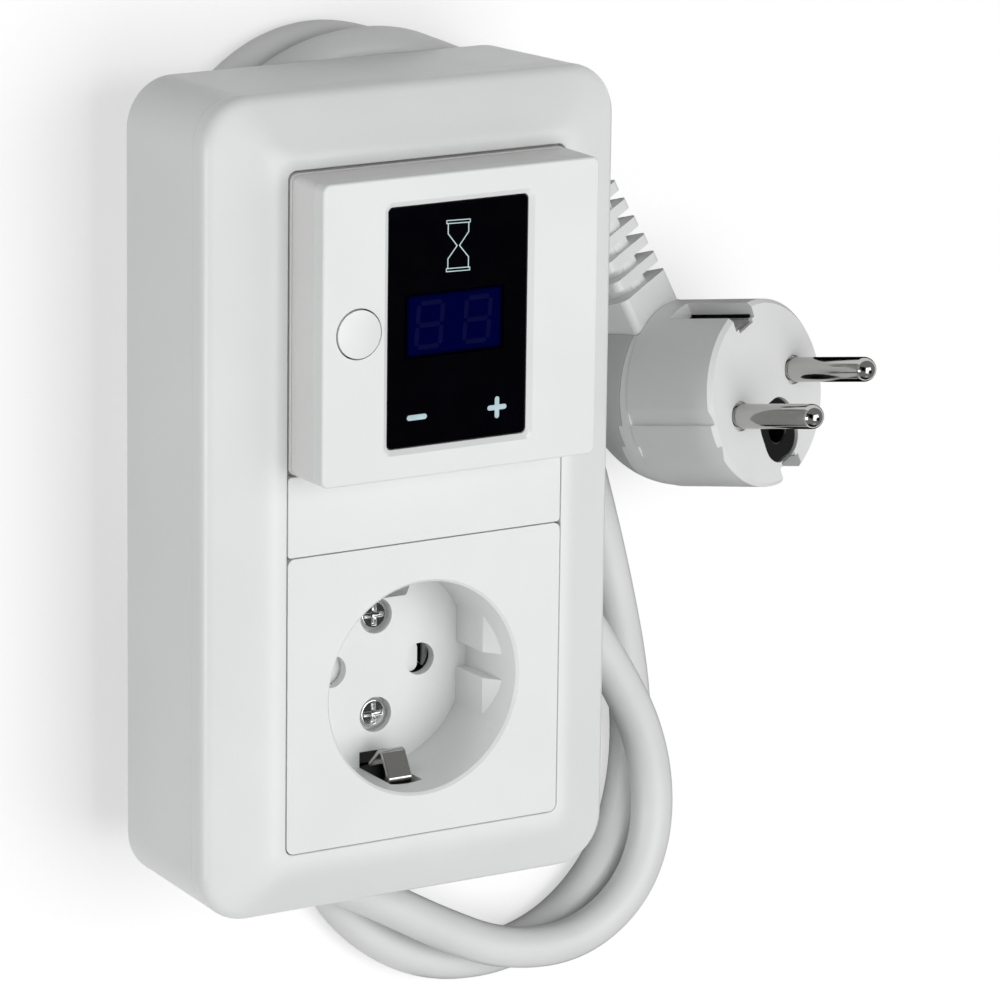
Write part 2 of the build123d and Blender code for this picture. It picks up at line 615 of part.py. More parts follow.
def contact_screws():
    """The clamp screws at the two sides of the socket base."""
    screws = []
    z = BASE_FLOOR_Z + CHAMBER_FLOOR + GAP + TERMINAL_HEIGHT / 2
    face = BASE_WIDTH / 2 - TERMINAL_INSET
    for side in (-1, 1):
        shank = rod_x(TERMINAL_SCREW_RADIUS, face - TERMINAL_LENGTH / 3, face, 0, z)
        head = rod_x(TERMINAL_SCREW_HEAD, face, face + TERMINAL_SCREW_HEAD, 0, z)
        slot = Box(2 * SCREW_SLOT_DEPTH, 3 * TERMINAL_SCREW_HEAD, SCREW_SLOT_WIDTH)
        head -= Pos(face + TERMINAL_SCREW_HEAD, 0, z) * slot
        bolt = shank + head
        if side < 0:
            bolt = mirror(bolt, about=Plane.YZ)
        screws.append(Pos(0, SOCKET_Y, 0) * bolt)
    return group(*screws)


def earth_clip():
    """One long strip: under the base, up through its slots, bent to a springy nose at both sides of the well."""
    back = BACK_WALL + GAP + STRIP_THICK / 2
    rise = WELL_FLOOR_Z + EARTH_RISE
    nose = WELL_FLOOR_Z + EARTH_NOSE_RISE
    tuck = WELL_FLOOR_Z + EARTH_TUCK_RISE
    arm = [(EARTH_OUT, back), (EARTH_OUT, rise), (EARTH_NOSE, nose), (EARTH_TUCK, tuck)]
    points = [(-x, z) for x, z in reversed(arm)] + arm
    return Pos(0, SOCKET_Y, 0) * Rot(0, 0, 90) * bent_strip(points, EARTH_WIDTH, EARTH_BEND)


def filler_strip():
    """The bar across the opening between the two modules, with two legs that catch behind the flanges."""
    bar = slab(MODULE_WIDTH, STRIP_HEIGHT, MODULE_CORNER / 2, RIM_Z - FRAME_SKIN, RIM_Z)
    for side in (-1, 1):
        leg_y = side * (STRIP_HEIGHT / 2 - STRIP_LEG_INSET)
        leg_top = RIM_Z - FRAME_SKIN
        bar += block(STRIP_LEG_LENGTH, STRIP_LEG_THICK, leg_top - STRIP_LEG_DROP, leg_top, 0, leg_y)
    return bar


def timer_housing():
    """The timer's hollow body: a wide front part, a flange behind the frame and a narrower rear part."""
    shelf = YOKE_TOP + TIMER_WALL
    wide = slab(TIMER_WIDTH, TIMER_HEIGHT, BEZEL_CORNER, YOKE_TOP, BEZEL_Z, 0, TIMER_Y)
    flange_x = MODULE_WIDTH + 2 * FLANGE_REACH
    flange_y = TIMER_HEIGHT + 2 * FLANGE_REACH - STRIP_LEG_THICK
    wide += slab(flange_x, flange_y, BEZEL_CORNER, FLANGE_TOP - FLANGE_THICK, FLANGE_TOP, 0, TIMER_Y)
    rear = slab(TIMER_REAR_SIZE, TIMER_REAR_SIZE, BEZEL_CORNER, TIMER_REAR_Z, YOKE_TOP, 0, TIMER_Y)
    body = wide + rear
    wide_x, wide_y = TIMER_WIDTH - 2 * TIMER_WALL, TIMER_HEIGHT - 2 * TIMER_WALL
    rear_in = TIMER_REAR_SIZE - 2 * TIMER_WALL
    body -= slab(wide_x, wide_y, BEZEL_CORNER / 2, shelf, BEZEL_Z + OVERRUN, 0, TIMER_Y)
    body -= slab(rear_in, rear_in, BEZEL_CORNER / 2, TIMER_REAR_Z + TIMER_WALL, shelf + OVERRUN, 0, TIMER_Y)
    foot_low, foot_high = RIM_Z + GAP, RIM_Z + GAP + TIMER_FOOT_HEIGHT
    groove = slab(TIMER_WIDTH + OVERRUN, TIMER_HEIGHT + OVERRUN, BEZEL_CORNER, foot_low, foot_high, 0, TIMER_Y)
    groove -= slab(
        TIMER_WIDTH - 2 * TIMER_FOOT_INSET, TIMER_HEIGHT - 2 * TIMER_FOOT_INSET, BEZEL_CORNER,
        foot_low, foot_high, 0, TIMER_Y,
    )
    body -= groove
    for x in (-1, 1):
        for y in (-1, 1):
            body += block(
                BOARD_POST, BOARD_POST, shelf, FRONT_BOARD_Z,
                x * (wide_x - BOARD_POST) / 2, TIMER_Y + y * (wide_y - BOARD_POST) / 2,
            )
            body += block(
                BOARD_POST, BOARD_POST, TIMER_REAR_Z + TIMER_WALL, POWER_BOARD_Z,
                x * (rear_in - BOARD_POST) / 2, TIMER_Y + y * (rear_in - BOARD_POST) / 2,
            )
    for side in (-1, 1):
        body -= rod(
            SCREW_HEAD_RADIUS + GAP, YOKE_TOP - OVERRUN, YOKE_TOP + SCREW_HEAD_HEIGHT + GAP,
            side * SCREW_SPACING / 2, TIMER_Y,
        )
    return body


def timer_bezel():
    """The timer's front plate: a chamfered bed for the glass, the button's hole and a skirt in the body."""
    bezel = slab(TIMER_WIDTH, TIMER_HEIGHT, BEZEL_CORNER, BEZEL_Z, TIMER_FRONT, 0, TIMER_Y)
    bezel = fillet(bezel.edges().group_by(Axis.Z)[-1], BEZEL_EDGE)
    skirt_x, skirt_y = TIMER_WIDTH - 2 * TIMER_WALL - 2 * FIT, TIMER_HEIGHT - 2 * TIMER_WALL - 2 * FIT
    skirt = slab(skirt_x, skirt_y, BEZEL_CORNER / 2, BEZEL_Z - BEZEL_SKIRT, BEZEL_Z, 0, TIMER_Y)
    skirt -= slab(
        skirt_x - 2 * TONGUE_WALL, skirt_y - 2 * TONGUE_WALL, BEZEL_CORNER / 2, BEZEL_Z - BEZEL_SKIRT, BEZEL_Z,
        0, TIMER_Y,
    )
    skirt -= rod(BUTTON_RADIUS + 2 * BUTTON_FLANGE, BEZEL_Z - BEZEL_SKIRT, BEZEL_Z, BUTTON_X, TIMER_Y)
    bezel += skirt
    bed_x, bed_y = GLASS_WIDTH + 2 * FIT, GLASS_HEIGHT + 2 * FIT
    bezel -= slab(bed_x, bed_y, GLASS_CORNER, GLASS_Z, TIMER_FRONT + OVERRUN, GLASS_OFFSET_X, TIMER_Y)
    bezel -= slab(
        GLASS_WIDTH - 2 * GLASS_LEDGE, GLASS_HEIGHT - 2 * GLASS_LEDGE, GLASS_CORNER, BEZEL_Z - OVERRUN,
        TIMER_FRONT, GLASS_OFFSET_X, TIMER_Y,
    )
    bezel -= loft(
        [
            rounded(bed_x, bed_y, GLASS_CORNER, GLASS_TOP, GLASS_OFFSET_X, TIMER_Y),
            rounded(bed_x + 2 * GLASS_CHAMFER, bed_y + 2 * GLASS_CHAMFER, GLASS_CORNER + GLASS_CHAMFER / 2,
                    TIMER_FRONT, GLASS_OFFSET_X, TIMER_Y),
        ],
        ruled=True,
    )
    return bezel - rod(BUTTON_RADIUS + BUTTON_GAP, BEZEL_Z - OVERRUN, TIMER_FRONT + OVERRUN, BUTTON_X, TIMER_Y)


def push_button():
    """The round button: a shaft with a low dome, and a flange that stops it behind the bezel."""
    rest = BEZEL_Z - GAP
    shaft = rod(BUTTON_RADIUS, rest - BUTTON_FLANGE_THICK, TIMER_FRONT + BUTTON_PROUD, BUTTON_X, TIMER_Y)
    dome_radius = (BUTTON_RADIUS ** 2 + BUTTON_DOME ** 2) / (2 * BUTTON_DOME)
    dome = Pos(BUTTON_X, TIMER_Y, BUTTON_TOP - dome_radius) * Sphere(dome_radius)
    dome &= rod(BUTTON_RADIUS, TIMER_FRONT + BUTTON_PROUD, BUTTON_TOP + OVERRUN, BUTTON_X, TIMER_Y)
    flange = rod(BUTTON_RADIUS + BUTTON_FLANGE, rest - BUTTON_FLANGE_THICK, rest, BUTTON_X, TIMER_Y)
    return shaft + dome + flange


def tact_switch():
    """The small switch on the front board, with a round cup for its plunger."""
    switch = block(SWITCH_SIZE, SWITCH_SIZE, BOARD_TOP, BOARD_TOP + SWITCH_HEIGHT, BUTTON_X, TIMER_Y)
    return switch - rod(PLUNGER_RADIUS + GAP, BOARD_TOP + SWITCH_HEIGHT / 4, GLASS_Z, BUTTON_X, TIMER_Y)


def switch_plunger():
    """The switch's plunger, which the button bears on."""
    low = BOARD_TOP + SWITCH_HEIGHT / 4 + BUTTON_TRAVEL + GAP
    return rod(PLUNGER_RADIUS, low, BEZEL_Z - GAP - BUTTON_FLANGE_THICK, BUTTON_X, TIMER_Y)


def front_board():
    """The board behind the glass."""
    board_x, board_y = TIMER_WIDTH - 2 * TIMER_WALL - 2 * GAP, TIMER_HEIGHT - 2 * TIMER_WALL - 2 * GAP
    return block(board_x, board_y, FRONT_BOARD_Z, BOARD_TOP, 0, TIMER_Y)


def key_pads():
    """The two sensing pads behind the minus and plus signs."""
    return group(*[
        rod(KEY_PAD_RADIUS, BOARD_TOP, GLASS_Z - GAP, side * KEY_X + GLASS_OFFSET_X, TIMER_Y - KEY_DOWN)
        for side in (-1, 1)
    ])


def power_board():
    """The board in the rear part of the timer."""
    size = TIMER_REAR_SIZE - 2 * TIMER_WALL - 2 * GAP
    return block(size, size, POWER_BOARD_Z, POWER_BOARD_Z + BOARD_THICK, 0, TIMER_Y)


def board_header():
    """The row of pins that joins the two boards, through a plastic strip on each."""
    x = (TIMER_REAR_SIZE / 2 - TIMER_WALL) - 2 * HEADER_BODY
    low, high = POWER_BOARD_Z + BOARD_THICK, FRONT_BOARD_Z
    length = HEADER_COUNT * HEADER_PITCH
    header = block(HEADER_BODY, length, low, low + HEADER_BODY, x, TIMER_Y)
    header += block(HEADER_BODY, length, high - HEADER_BODY, high, x, TIMER_Y)
    for index in range(HEADER_COUNT):
        y = TIMER_Y + (index - (HEADER_COUNT - 1) / 2) * HEADER_PITCH
        header += block(HEADER_PIN, HEADER_PIN, low, high, x, y)
    return header


def relay():
    """The switching relay."""
    low = POWER_BOARD_Z + BOARD_THICK
    case = block(
        RELAY_WIDTH, RELAY_LENGTH, low, low + RELAY_HEIGHT, RELAY_WIDTH / 2 - REAR_HALF,
        TIMER_Y + REAR_HALF - RELAY_LENGTH / 2,
    )
    return fillet(case.edges().group_by(Axis.Z)[-1], BEZEL_EDGE)


def capacitor():
    """The round can beside the relay."""
    low = POWER_BOARD_Z + BOARD_THICK
    can_x = RELAY_WIDTH + PART_MARGIN + CAPACITOR_RADIUS - REAR_HALF
    can_y = TIMER_Y + REAR_HALF - CAPACITOR_RADIUS
    can = rod(CAPACITOR_RADIUS, low, low + CAPACITOR_HEIGHT, can_x, can_y)
    return fillet(can.edges().group_by(Axis.Z)[-1], BEZEL_EDGE)


def supply_core():
    """The small supply choke: a winding between two end plates."""
    low = POWER_BOARD_Z + BOARD_THICK
    x, y = CORE_WIDTH / 2 - REAR_HALF, TIMER_Y + CORE_LENGTH / 2 - REAR_HALF
    plates = block(CORE_WIDTH, CORE_LENGTH, low, low + BOARD_THICK, x, y)
    plates += block(CORE_WIDTH, CORE_LENGTH, low + CORE_HEIGHT - BOARD_THICK, low + CORE_HEIGHT, x, y)
    return plates + rod(CORE_LENGTH / 2 - OVERRUN, low + BOARD_THICK, low + CORE_HEIGHT - BOARD_THICK, x, y)


def terminal_places():
    """Where the wires enter the timer's terminal block."""
    return [(index - 1) * TERMINAL_BLOCK_PITCH for index in range(3)]


def terminal_block():
    """The timer's terminal block, under its rear part, with three wire holes and three screw wells."""
    back = TIMER_Y - TIMER_REAR_SIZE / 2
    low = TIMER_REAR_Z
    high = low + TERMINAL_BLOCK_HEIGHT
    shape = block(TERMINAL_BLOCK_LENGTH, TERMINAL_BLOCK_DEPTH, low, high, 0, back - TERMINAL_BLOCK_DEPTH / 2)
    for x in terminal_places():
        shape -= rod_y(WIRE_RADIUS + GAP, back - TERMINAL_BLOCK_DEPTH - OVERRUN, back - FRAME_SKIN, x, WIRE_Z)
        shape -= rod(CLAMP_SCREW_RADIUS + FIT, WIRE_Z, high + OVERRUN, x, back - TERMINAL_BLOCK_DEPTH / 2)
    return shape


def terminal_screws():
    """The three screws of the timer's terminal block."""
    back = TIMER_Y - TIMER_REAR_SIZE / 2
    high = TIMER_REAR_Z + TERMINAL_BLOCK_HEIGHT
    return group(*[
        screw(x, back - TERMINAL_BLOCK_DEPTH / 2, high, CLAMP_SCREW_RADIUS, 2 * CLAMP_SCREW_RADIUS - FIT,
              CLAMP_SCREW_RADIUS, TERMINAL_BLOCK_HEIGHT / 3)
        for x in terminal_places()
    ])


def cord_gland():
    """The gland in the back wall: a square flange inside, a neck through it and a collar sunk in the back."""
    gland = rod(GLAND_COLLAR_RADIUS, 0, GLAND_COLLAR_THICK, GLAND_X, GLAND_Y)
    gland += rod(GLAND_NECK_RADIUS, 0, CLAMP_Z, GLAND_X, GLAND_Y)
    gland += slab(
        GLAND_FLANGE_SIZE, GLAND_FLANGE_SIZE - 2 * GLAND_FLANGE_THICK, GLAND_FLANGE_THICK, BACK_WALL, CLAMP_Z,
        GLAND_X, GLAND_Y,
    )
    return gland - rod(CORD_RADIUS + GLAND_BORE_GAP, -OVERRUN, CLAMP_Z + OVERRUN, GLAND_X, GLAND_Y)


def sheath_end():
    """The lead's last stretch, up through the gland and the clamp."""
    return rod(CORD_RADIUS, 0, SHEATH_TOP, GLAND_X, GLAND_Y)


def cord_clamp():
    """The plate round the sheath that holds the gland's flange down."""
    plate = slab(CLAMP_LENGTH, CLAMP_WIDTH, CLAMP_THICK, CLAMP_Z, CLAMP_TOP, GLAND_X, GLAND_Y)
    plate -= rod(CORD_RADIUS + FIT, CLAMP_Z - OVERRUN, CLAMP_TOP + OVERRUN, GLAND_X, GLAND_Y)
    for side in (-1, 1):
        x = GLAND_X + side * CLAMP_SCREW_SPACING / 2
        plate -= rod(CLAMP_SCREW_RADIUS + FIT, CLAMP_Z - OVERRUN, CLAMP_TOP + OVERRUN, x, GLAND_Y)
    return plate


def clamp_screws():
    """The two screws of the clamp."""
    return group(*[
        screw(GLAND_X + side * CLAMP_SCREW_SPACING / 2, GLAND_Y, CLAMP_TOP, CLAMP_SCREW_RADIUS,
              CLAMP_SCREW_HEAD, CLAMP_SCREW_RADIUS, CLAMP_TOP - BACK_WALL - OVERRUN)
        for side in (-1, 1)
    ])


def wire(*points):
    """A single insulated wire along straight runs with rounded bends."""
    line = FilletPolyline(*points, radius=WIRE_BEND)
    return sweep(Plane(origin=line @ 0, z_dir=line % 0) * Circle(WIRE_RADIUS), path=line)


def wires():
    """The three wires inside the box, from the sheath's end to the timer and to the earth strip."""
    low = SHEATH_TOP + GAP
    spread = 2 * WIRE_RADIUS
    side_x = INNER_X / 2 - BOX_TAPER - spread
    block_face = TIMER_Y - TIMER_REAR_SIZE / 2 - TERMINAL_BLOCK_DEPTH
    in_hole = block_face + WIRE_RADIUS
    turn_in = block_face - WIRE_BEND - spread
    places = terminal_places()
    for name, side, place in (("wire_live", -1, places[0]), ("wire_neutral", 1, places[2])):
        start_x = GLAND_X + side * spread
        parts[name] = wire(
            (start_x, GLAND_Y, low), (start_x, GLAND_Y, WIRE_Z), (side * side_x, GLAND_Y, WIRE_Z),
            (side * side_x, turn_in, WIRE_Z), (place, turn_in, WIRE_Z), (place, in_hole, WIRE_Z),
        )
    earth_touch = SOCKET_Y - EARTH_OUT - STRIP_THICK / 2 - GAP
    earth_y = GLAND_Y + spread
    parts["wire_earth"] = wire(
        (GLAND_X, earth_y, low), (GLAND_X, earth_y, WIRE_Z), (GLAND_X, earth_touch, WIRE_Z),
    )


def plug_place():
    """Where the plug lies: its face centre, and the axes of its pins."""
    return Plane(origin=PLUG_FACE_CENTRE, x_dir=PIN_ROW_SHARES, z_dir=PIN_WAY_SHARES).location


def plug_front():
    """The round front of the plug with a bevelled face, two flats and the guide rib on each flat."""
    drum = rod(PLUG_RADIUS, -PLUG_SEAM_DEPTH, 0)
    drum = chamfer(drum.edges().group_by(Axis.Z)[-1], PLUG_EDGE)
    body = drum & Box(2 * PLUG_FLAT, 2 * PLUG_RADIUS, 3 * PLUG_SEAM_DEPTH)
    return body + (drum & Box(2 * PLUG_RADIUS, PLUG_RIB_WIDTH, 3 * PLUG_SEAM_DEPTH))


def seam_cut(gap):
    """All that lies behind the slanted, stepped seam between the plug's two shells."""
    wide = 2 * PLUG_RADIUS
    deep = PLUG_SEAM_DEPTH + gap
    step = PLUG_SEAM_STEP
    half_rib = PLUG_RIB_WIDTH / 2
    profile = Plane.YZ * Polygon(
        (wide, -deep), (half_rib, -deep - step / 3), (half_rib, -deep - step / 2),
        (-half_rib, -deep - step / 2), (-half_rib, -deep - step * 2 / 3), (-wide, -deep - step * 1.6),
        (-wide, -2 * wide), (wide, -2 * wide), align=None,
    )
    return extrude(profile, wide, both=True)


def plug_bulk():
    """The outer form of the plug: a straight round front and a back that slopes up to the side of the cord."""
    half_back = (PLUG_SEAM_DEPTH + PLUG_BACK_DEPTH) / 2
    back = loft(
        [
            Pos(0, 0, -PLUG_SEAM_DEPTH) * Circle(PLUG_RADIUS - GAP / 2),
            Pos(0, PLUG_BACK_SHIFT / 4, -half_back) * Circle(PLUG_RADIUS - 3 * GAP),
            Pos(0, PLUG_BACK_SHIFT, -PLUG_BACK_DEPTH) * Circle(PLUG_BACK_RADIUS),
        ],
    )
    return plug_front() + back


def relief_axes():
    """The strain relief's own place on the plug: Z runs out along the cord."""
    tilt = math.asin(RELIEF_TILT_SHARE)
    return Plane(
        origin=(0, RELIEF_OUT, -RELIEF_DEPTH), x_dir=(1, 0, 0), z_dir=(0, math.cos(tilt), -math.sin(tilt)),
    ).location


def relief_length():
    return RELIEF_COLLAR + RELIEF_RIBS * RELIEF_PITCH


def relief_root(gap):
    """The collar's foot, which sits inside the rear shell."""
    low = -RELIEF_ROOT - gap
    return slab(RELIEF_WIDTH + 2 * gap, RELIEF_THICK + 2 * gap, RELIEF_CORNER, low, RELIEF_COLLAR)


def strain_relief():
    """A collar, a sleeve with two bars along it, and evenly spaced ribs that get smaller towards the cord."""
    relief = relief_root(0)
    end = relief_length()
    relief += rod(RELIEF_SLEEVE, RELIEF_COLLAR, end, 0, 0)
    bar = RELIEF_THICK - 2 * RELIEF_TAPER * RELIEF_RIBS
    relief += block(RELIEF_BAR, bar, RELIEF_COLLAR, end - RELIEF_RIB / 2, 0, 0)
    for index in range(1, RELIEF_RIBS + 1):
        top = RELIEF_COLLAR + index * RELIEF_PITCH
        shrink = 2 * RELIEF_TAPER * index
        relief += slab(RELIEF_WIDTH - shrink, RELIEF_THICK - shrink, RELIEF_CORNER, top - RELIEF_RIB, top)
    return relief


def plug_pins():
    """The two round pins with domed tips, held in the front shell."""
    pins = []
    for side in (-1, 1):
        x = side * PIN_PITCH / 2
        straight = PLUG_PIN_LENGTH - PLUG_PIN_RADIUS
        pin = rod(PLUG_PIN_ROOT_RADIUS, -PLUG_PIN_ROOT, PLUG_PIN_SHOULDER, x, 0)
        pin += rod(PLUG_PIN_RADIUS, PLUG_PIN_SHOULDER, straight, x, 0)
        pins.append(pin + Pos(x, 0, straight) * Sphere(PLUG_PIN_RADIUS))
    return group(*pins)


def earth_clips():
    """The two metal strips in the earth grooves at opposite edges of the plug."""
    clips = []
    for side in (-1, 1):
        y = side * (PLUG_RADIUS - EARTH_GROOVE_DEPTH - EARTH_CLIP_THICK / 2)
        clips.append(block(EARTH_CLIP_WIDTH, EARTH_CLIP_THICK, -EARTH_GROOVE_LENGTH, -PIN_RING_DEPTH, 0, y))
    return group(*clips)


def earth_insert():
    """The black insert in the face, with the round hole for a socket's earth pin."""
    low, high = -INSERT_DEPTH, -INSERT_SINK
    wide, tall = INSERT_WIDTH - 2 * FIT, INSERT_HEIGHT - 2 * FIT
    insert = slab(wide, tall, INSERT_CORNER - FIT, low, high, 0, -INSERT_DOWN)
    return insert - rod(INSERT_BORE, low + OVERRUN, high + OVERRUN, 0, -INSERT_DOWN)


def plug():
    """All the pieces of the plug, placed beside the unit."""
    place = plug_place()
    bulk = plug_bulk()
    front = bulk - seam_cut(0)
    rear = bulk & seam_cut(FIT)
    for side in (-1, 1):
        x = side * PIN_PITCH / 2
        front -= rod(PLUG_PIN_HOLE_RADIUS, -PLUG_PIN_ROOT, OVERRUN, x, 0)
        front -= rod(PLUG_PIN_RADIUS + PIN_RING_GAP, -PIN_RING_DEPTH, OVERRUN, x, 0)
        groove_in = PLUG_RADIUS - EARTH_GROOVE_DEPTH
        front -= block(
            EARTH_GROOVE_WIDTH, 2 * EARTH_GROOVE_DEPTH, -EARTH_GROOVE_LENGTH, OVERRUN, 0, side * PLUG_RADIUS,
        )
        clip_y = side * (groove_in - EARTH_CLIP_THICK / 2)
        front -= block(EARTH_CLIP_WIDTH, EARTH_CLIP_THICK, -EARTH_GROOVE_LENGTH, OVERRUN, 0, clip_y)
    front -= slab(INSERT_WIDTH, INSERT_HEIGHT, INSERT_CORNER, -INSERT_DEPTH, OVERRUN, 0, -INSERT_DOWN)
    relief = relief_axes() * strain_relief()
    socket = relief_axes() * relief_root(FIT)
    rear -= socket
    front -= socket
    parts["plug_body"] = place * front
    parts["plug_rear_shell"] = place * rear
    parts["plug_strain_relief"] = place * relief
    parts["plug_pins"] = place * plug_pins()
    parts["plug_earth_clips"] = place * earth_clips()
    parts["plug_earth_insert"] = place * earth_insert()


def biarc(start, start_way, end, end_way):
    """Two arcs that leave one point and reach the next along the given ways."""
    step = end - start
    ways = start_way + end_way
    cross = 1 - start_way.dot(end_way)
    reach = (-step.dot(ways) + math.sqrt(step.dot(ways) ** 2 + 2 * cross * step.dot(step))) / (2 * cross)
    middle = (start + end + (start_way - end_way) * reach) * 0.5
    first = Edge.make_tangent_arc(start, start_way, middle)
    return [first, Edge.make_tangent_arc(middle, first % 1, end)]


def coil_point(turn):
    """A point of the wound turns: an oval that draws in by one step each turn, from its left side downwards."""
    angle = math.pi + 2 * math.pi * turn
    half_width = COIL_HALF_WIDTH - COIL_STEP * turn
    half_length = COIL_HALF_LENGTH - COIL_STEP * turn
    return Vector(
        COIL_CENTRE_X + half_width * math.cos(angle), COIL_CENTRE_Y + half_length * math.sin(angle), LAYER_1_Z,
    )


def coil_way(turn):
    """The way that the wound turns run at a point."""
    return (coil_point(turn + SMALL_TURN) - coil_point(turn - SMALL_TURN)).normalized()


def tube(path):
    """The lead along a path, cut flat where it would sink into the table."""
    shape = sweep(Plane(origin=path @ 0, z_dir=path % 0) * Circle(CORD_RADIUS), path=path)
    below = Pos(0, 0, TABLE_Z - CORD_DIAMETER) * Box(4 * EDGE_SIZE_Y, 4 * EDGE_SIZE_Y, 2 * CORD_DIAMETER)
    return shape - below


def arc_radii(points):
    """The radius at each corner of a route: 0.45 of the shorter run over the tangent of half the turn."""
    radii = []
    for before, corner, after in zip(points, points[1:], points[2:]):
        first, second = Vector(*corner) - Vector(*before), Vector(*after) - Vector(*corner)
        turn = math.radians(first.get_angle(second))
        radii.append(0.45 * min(first.length, second.length) / math.tan(turn / 2))
    return radii


def free_tube(name, points):
    """A free stretch of the lead: straight runs joined by tangent arcs."""
    radii = arc_radii(points)
    path = FilletPolyline(*points, radius=radii)
    solid = tube(path)
    print(name, "length", round(path.length, 1), "radii", [round(r) for r in radii])
    print(name, "volume", round(solid.volume), "of", round(path.length * math.pi * CORD_RADIUS ** 2))
    return solid


def cord():
    """The lead from the gland to the plug: once round the outside, two turns under the box and back over them."""
    start, start_way = coil_point(0), coil_way(0)
    end, end_way = coil_point(COIL_TURNS), coil_way(COIL_TURNS)
    lead_in = [
        (GLAND_X, GLAND_Y, 0), (GLAND_X, GLAND_Y, -7.2), (GLAND_X + 1.2, GLAND_Y - 5.8, LAYER_1_Z),
        (7.5, -88.5, LAYER_1_Z), (17.5, -100, LAYER_1_Z), (31, -107.3, LAYER_1_Z), (46, -108.8, LAYER_1_Z),
        (61, -104, LAYER_1_Z), (72.5, -92.5, LAYER_1_Z), (77.5, -77, LAYER_1_Z), (77.5, -59, LAYER_1_Z),
        (72.3, -35, LAYER_1_Z), (64.5, -8, LAYER_1_Z), (55.5, 20, LAYER_1_Z), (45.2, 50, LAYER_1_Z),
        (26.5, 70, LAYER_1_Z), (6.5, 78, LAYER_1_Z), (-12.5, 72.7, LAYER_1_Z), (-25.5, 56, LAYER_1_Z),
        tuple(start - start_way * 30), tuple(start),
    ]
    relief = plug_place() * relief_axes()
    relief_out = relief * Pos(0, 0, relief_length())
    tip = relief_out.position
    tip_way = (tip - relief.position).normalized()
    lead_out = [
        tuple(end), tuple(end + end_way * 13), (-3.5, -22, -9.2), (-3, -36, LAYER_2_Z), (-7, -51, LAYER_2_Z),
        (-11.5, -63.5, LAYER_2_Z), (-9, -74.5, LAYER_2_Z), (1.5, -83, LAYER_2_Z), (15, -90, LAYER_2_Z),
        (28.5, -97.8, LAYER_2_Z), (43, -104.8, LAYER_2_Z), (60, -106, LAYER_2_Z), (73, -98, LAYER_2_Z),
        (78.3, -84, LAYER_2_Z), (76, -66, LAYER_2_Z), (66, -48, LAYER_2_Z), (51, -28, LAYER_2_Z),
        (28, -7, LAYER_2_Z), (4, 8, LAYER_2_Z), (-16, 23, LAYER_2_Z), (-26, 41, LAYER_2_Z),
        (-22, 60, LAYER_2_Z), (-6, 74, LAYER_2_Z), (14, 77, LAYER_2_Z), (29.5, 71, -5.0), (41, 66, -7.9),
        (49.8, 61, -11.2),
        tuple(tip + tip_way * 6), tuple(tip),
    ]
    turns = []
    quarters = 4 * COIL_TURNS
    for quarter in range(quarters):
        here, there = quarter / 4, (quarter + 1) / 4
        turns += biarc(coil_point(here), coil_way(here), coil_point(there), coil_way(there))
    coil = Wire(turns)
    samples = np.array([tuple(coil @ share) for share in np.linspace(0, 1, COIL_SAMPLES)])
    spacing = coil.length / len(samples)
    skip = int(4 * CORD_DIAMETER / spacing)
    gaps = [
        np.linalg.norm(samples[index + skip:] - samples[index], axis=1).min()
        for index in range(len(samples) - skip - 1)
    ]
    print("coil length", round(coil.length, 1), "least gap to itself", round(min(gaps) - CORD_DIAMETER, 2))
    parts["cord_lead_in"] = free_tube("lead in", lead_in)
    parts["cord_coil"] = tube(coil)
    parts["cord_lead_out"] = free_tube("lead out", lead_out)


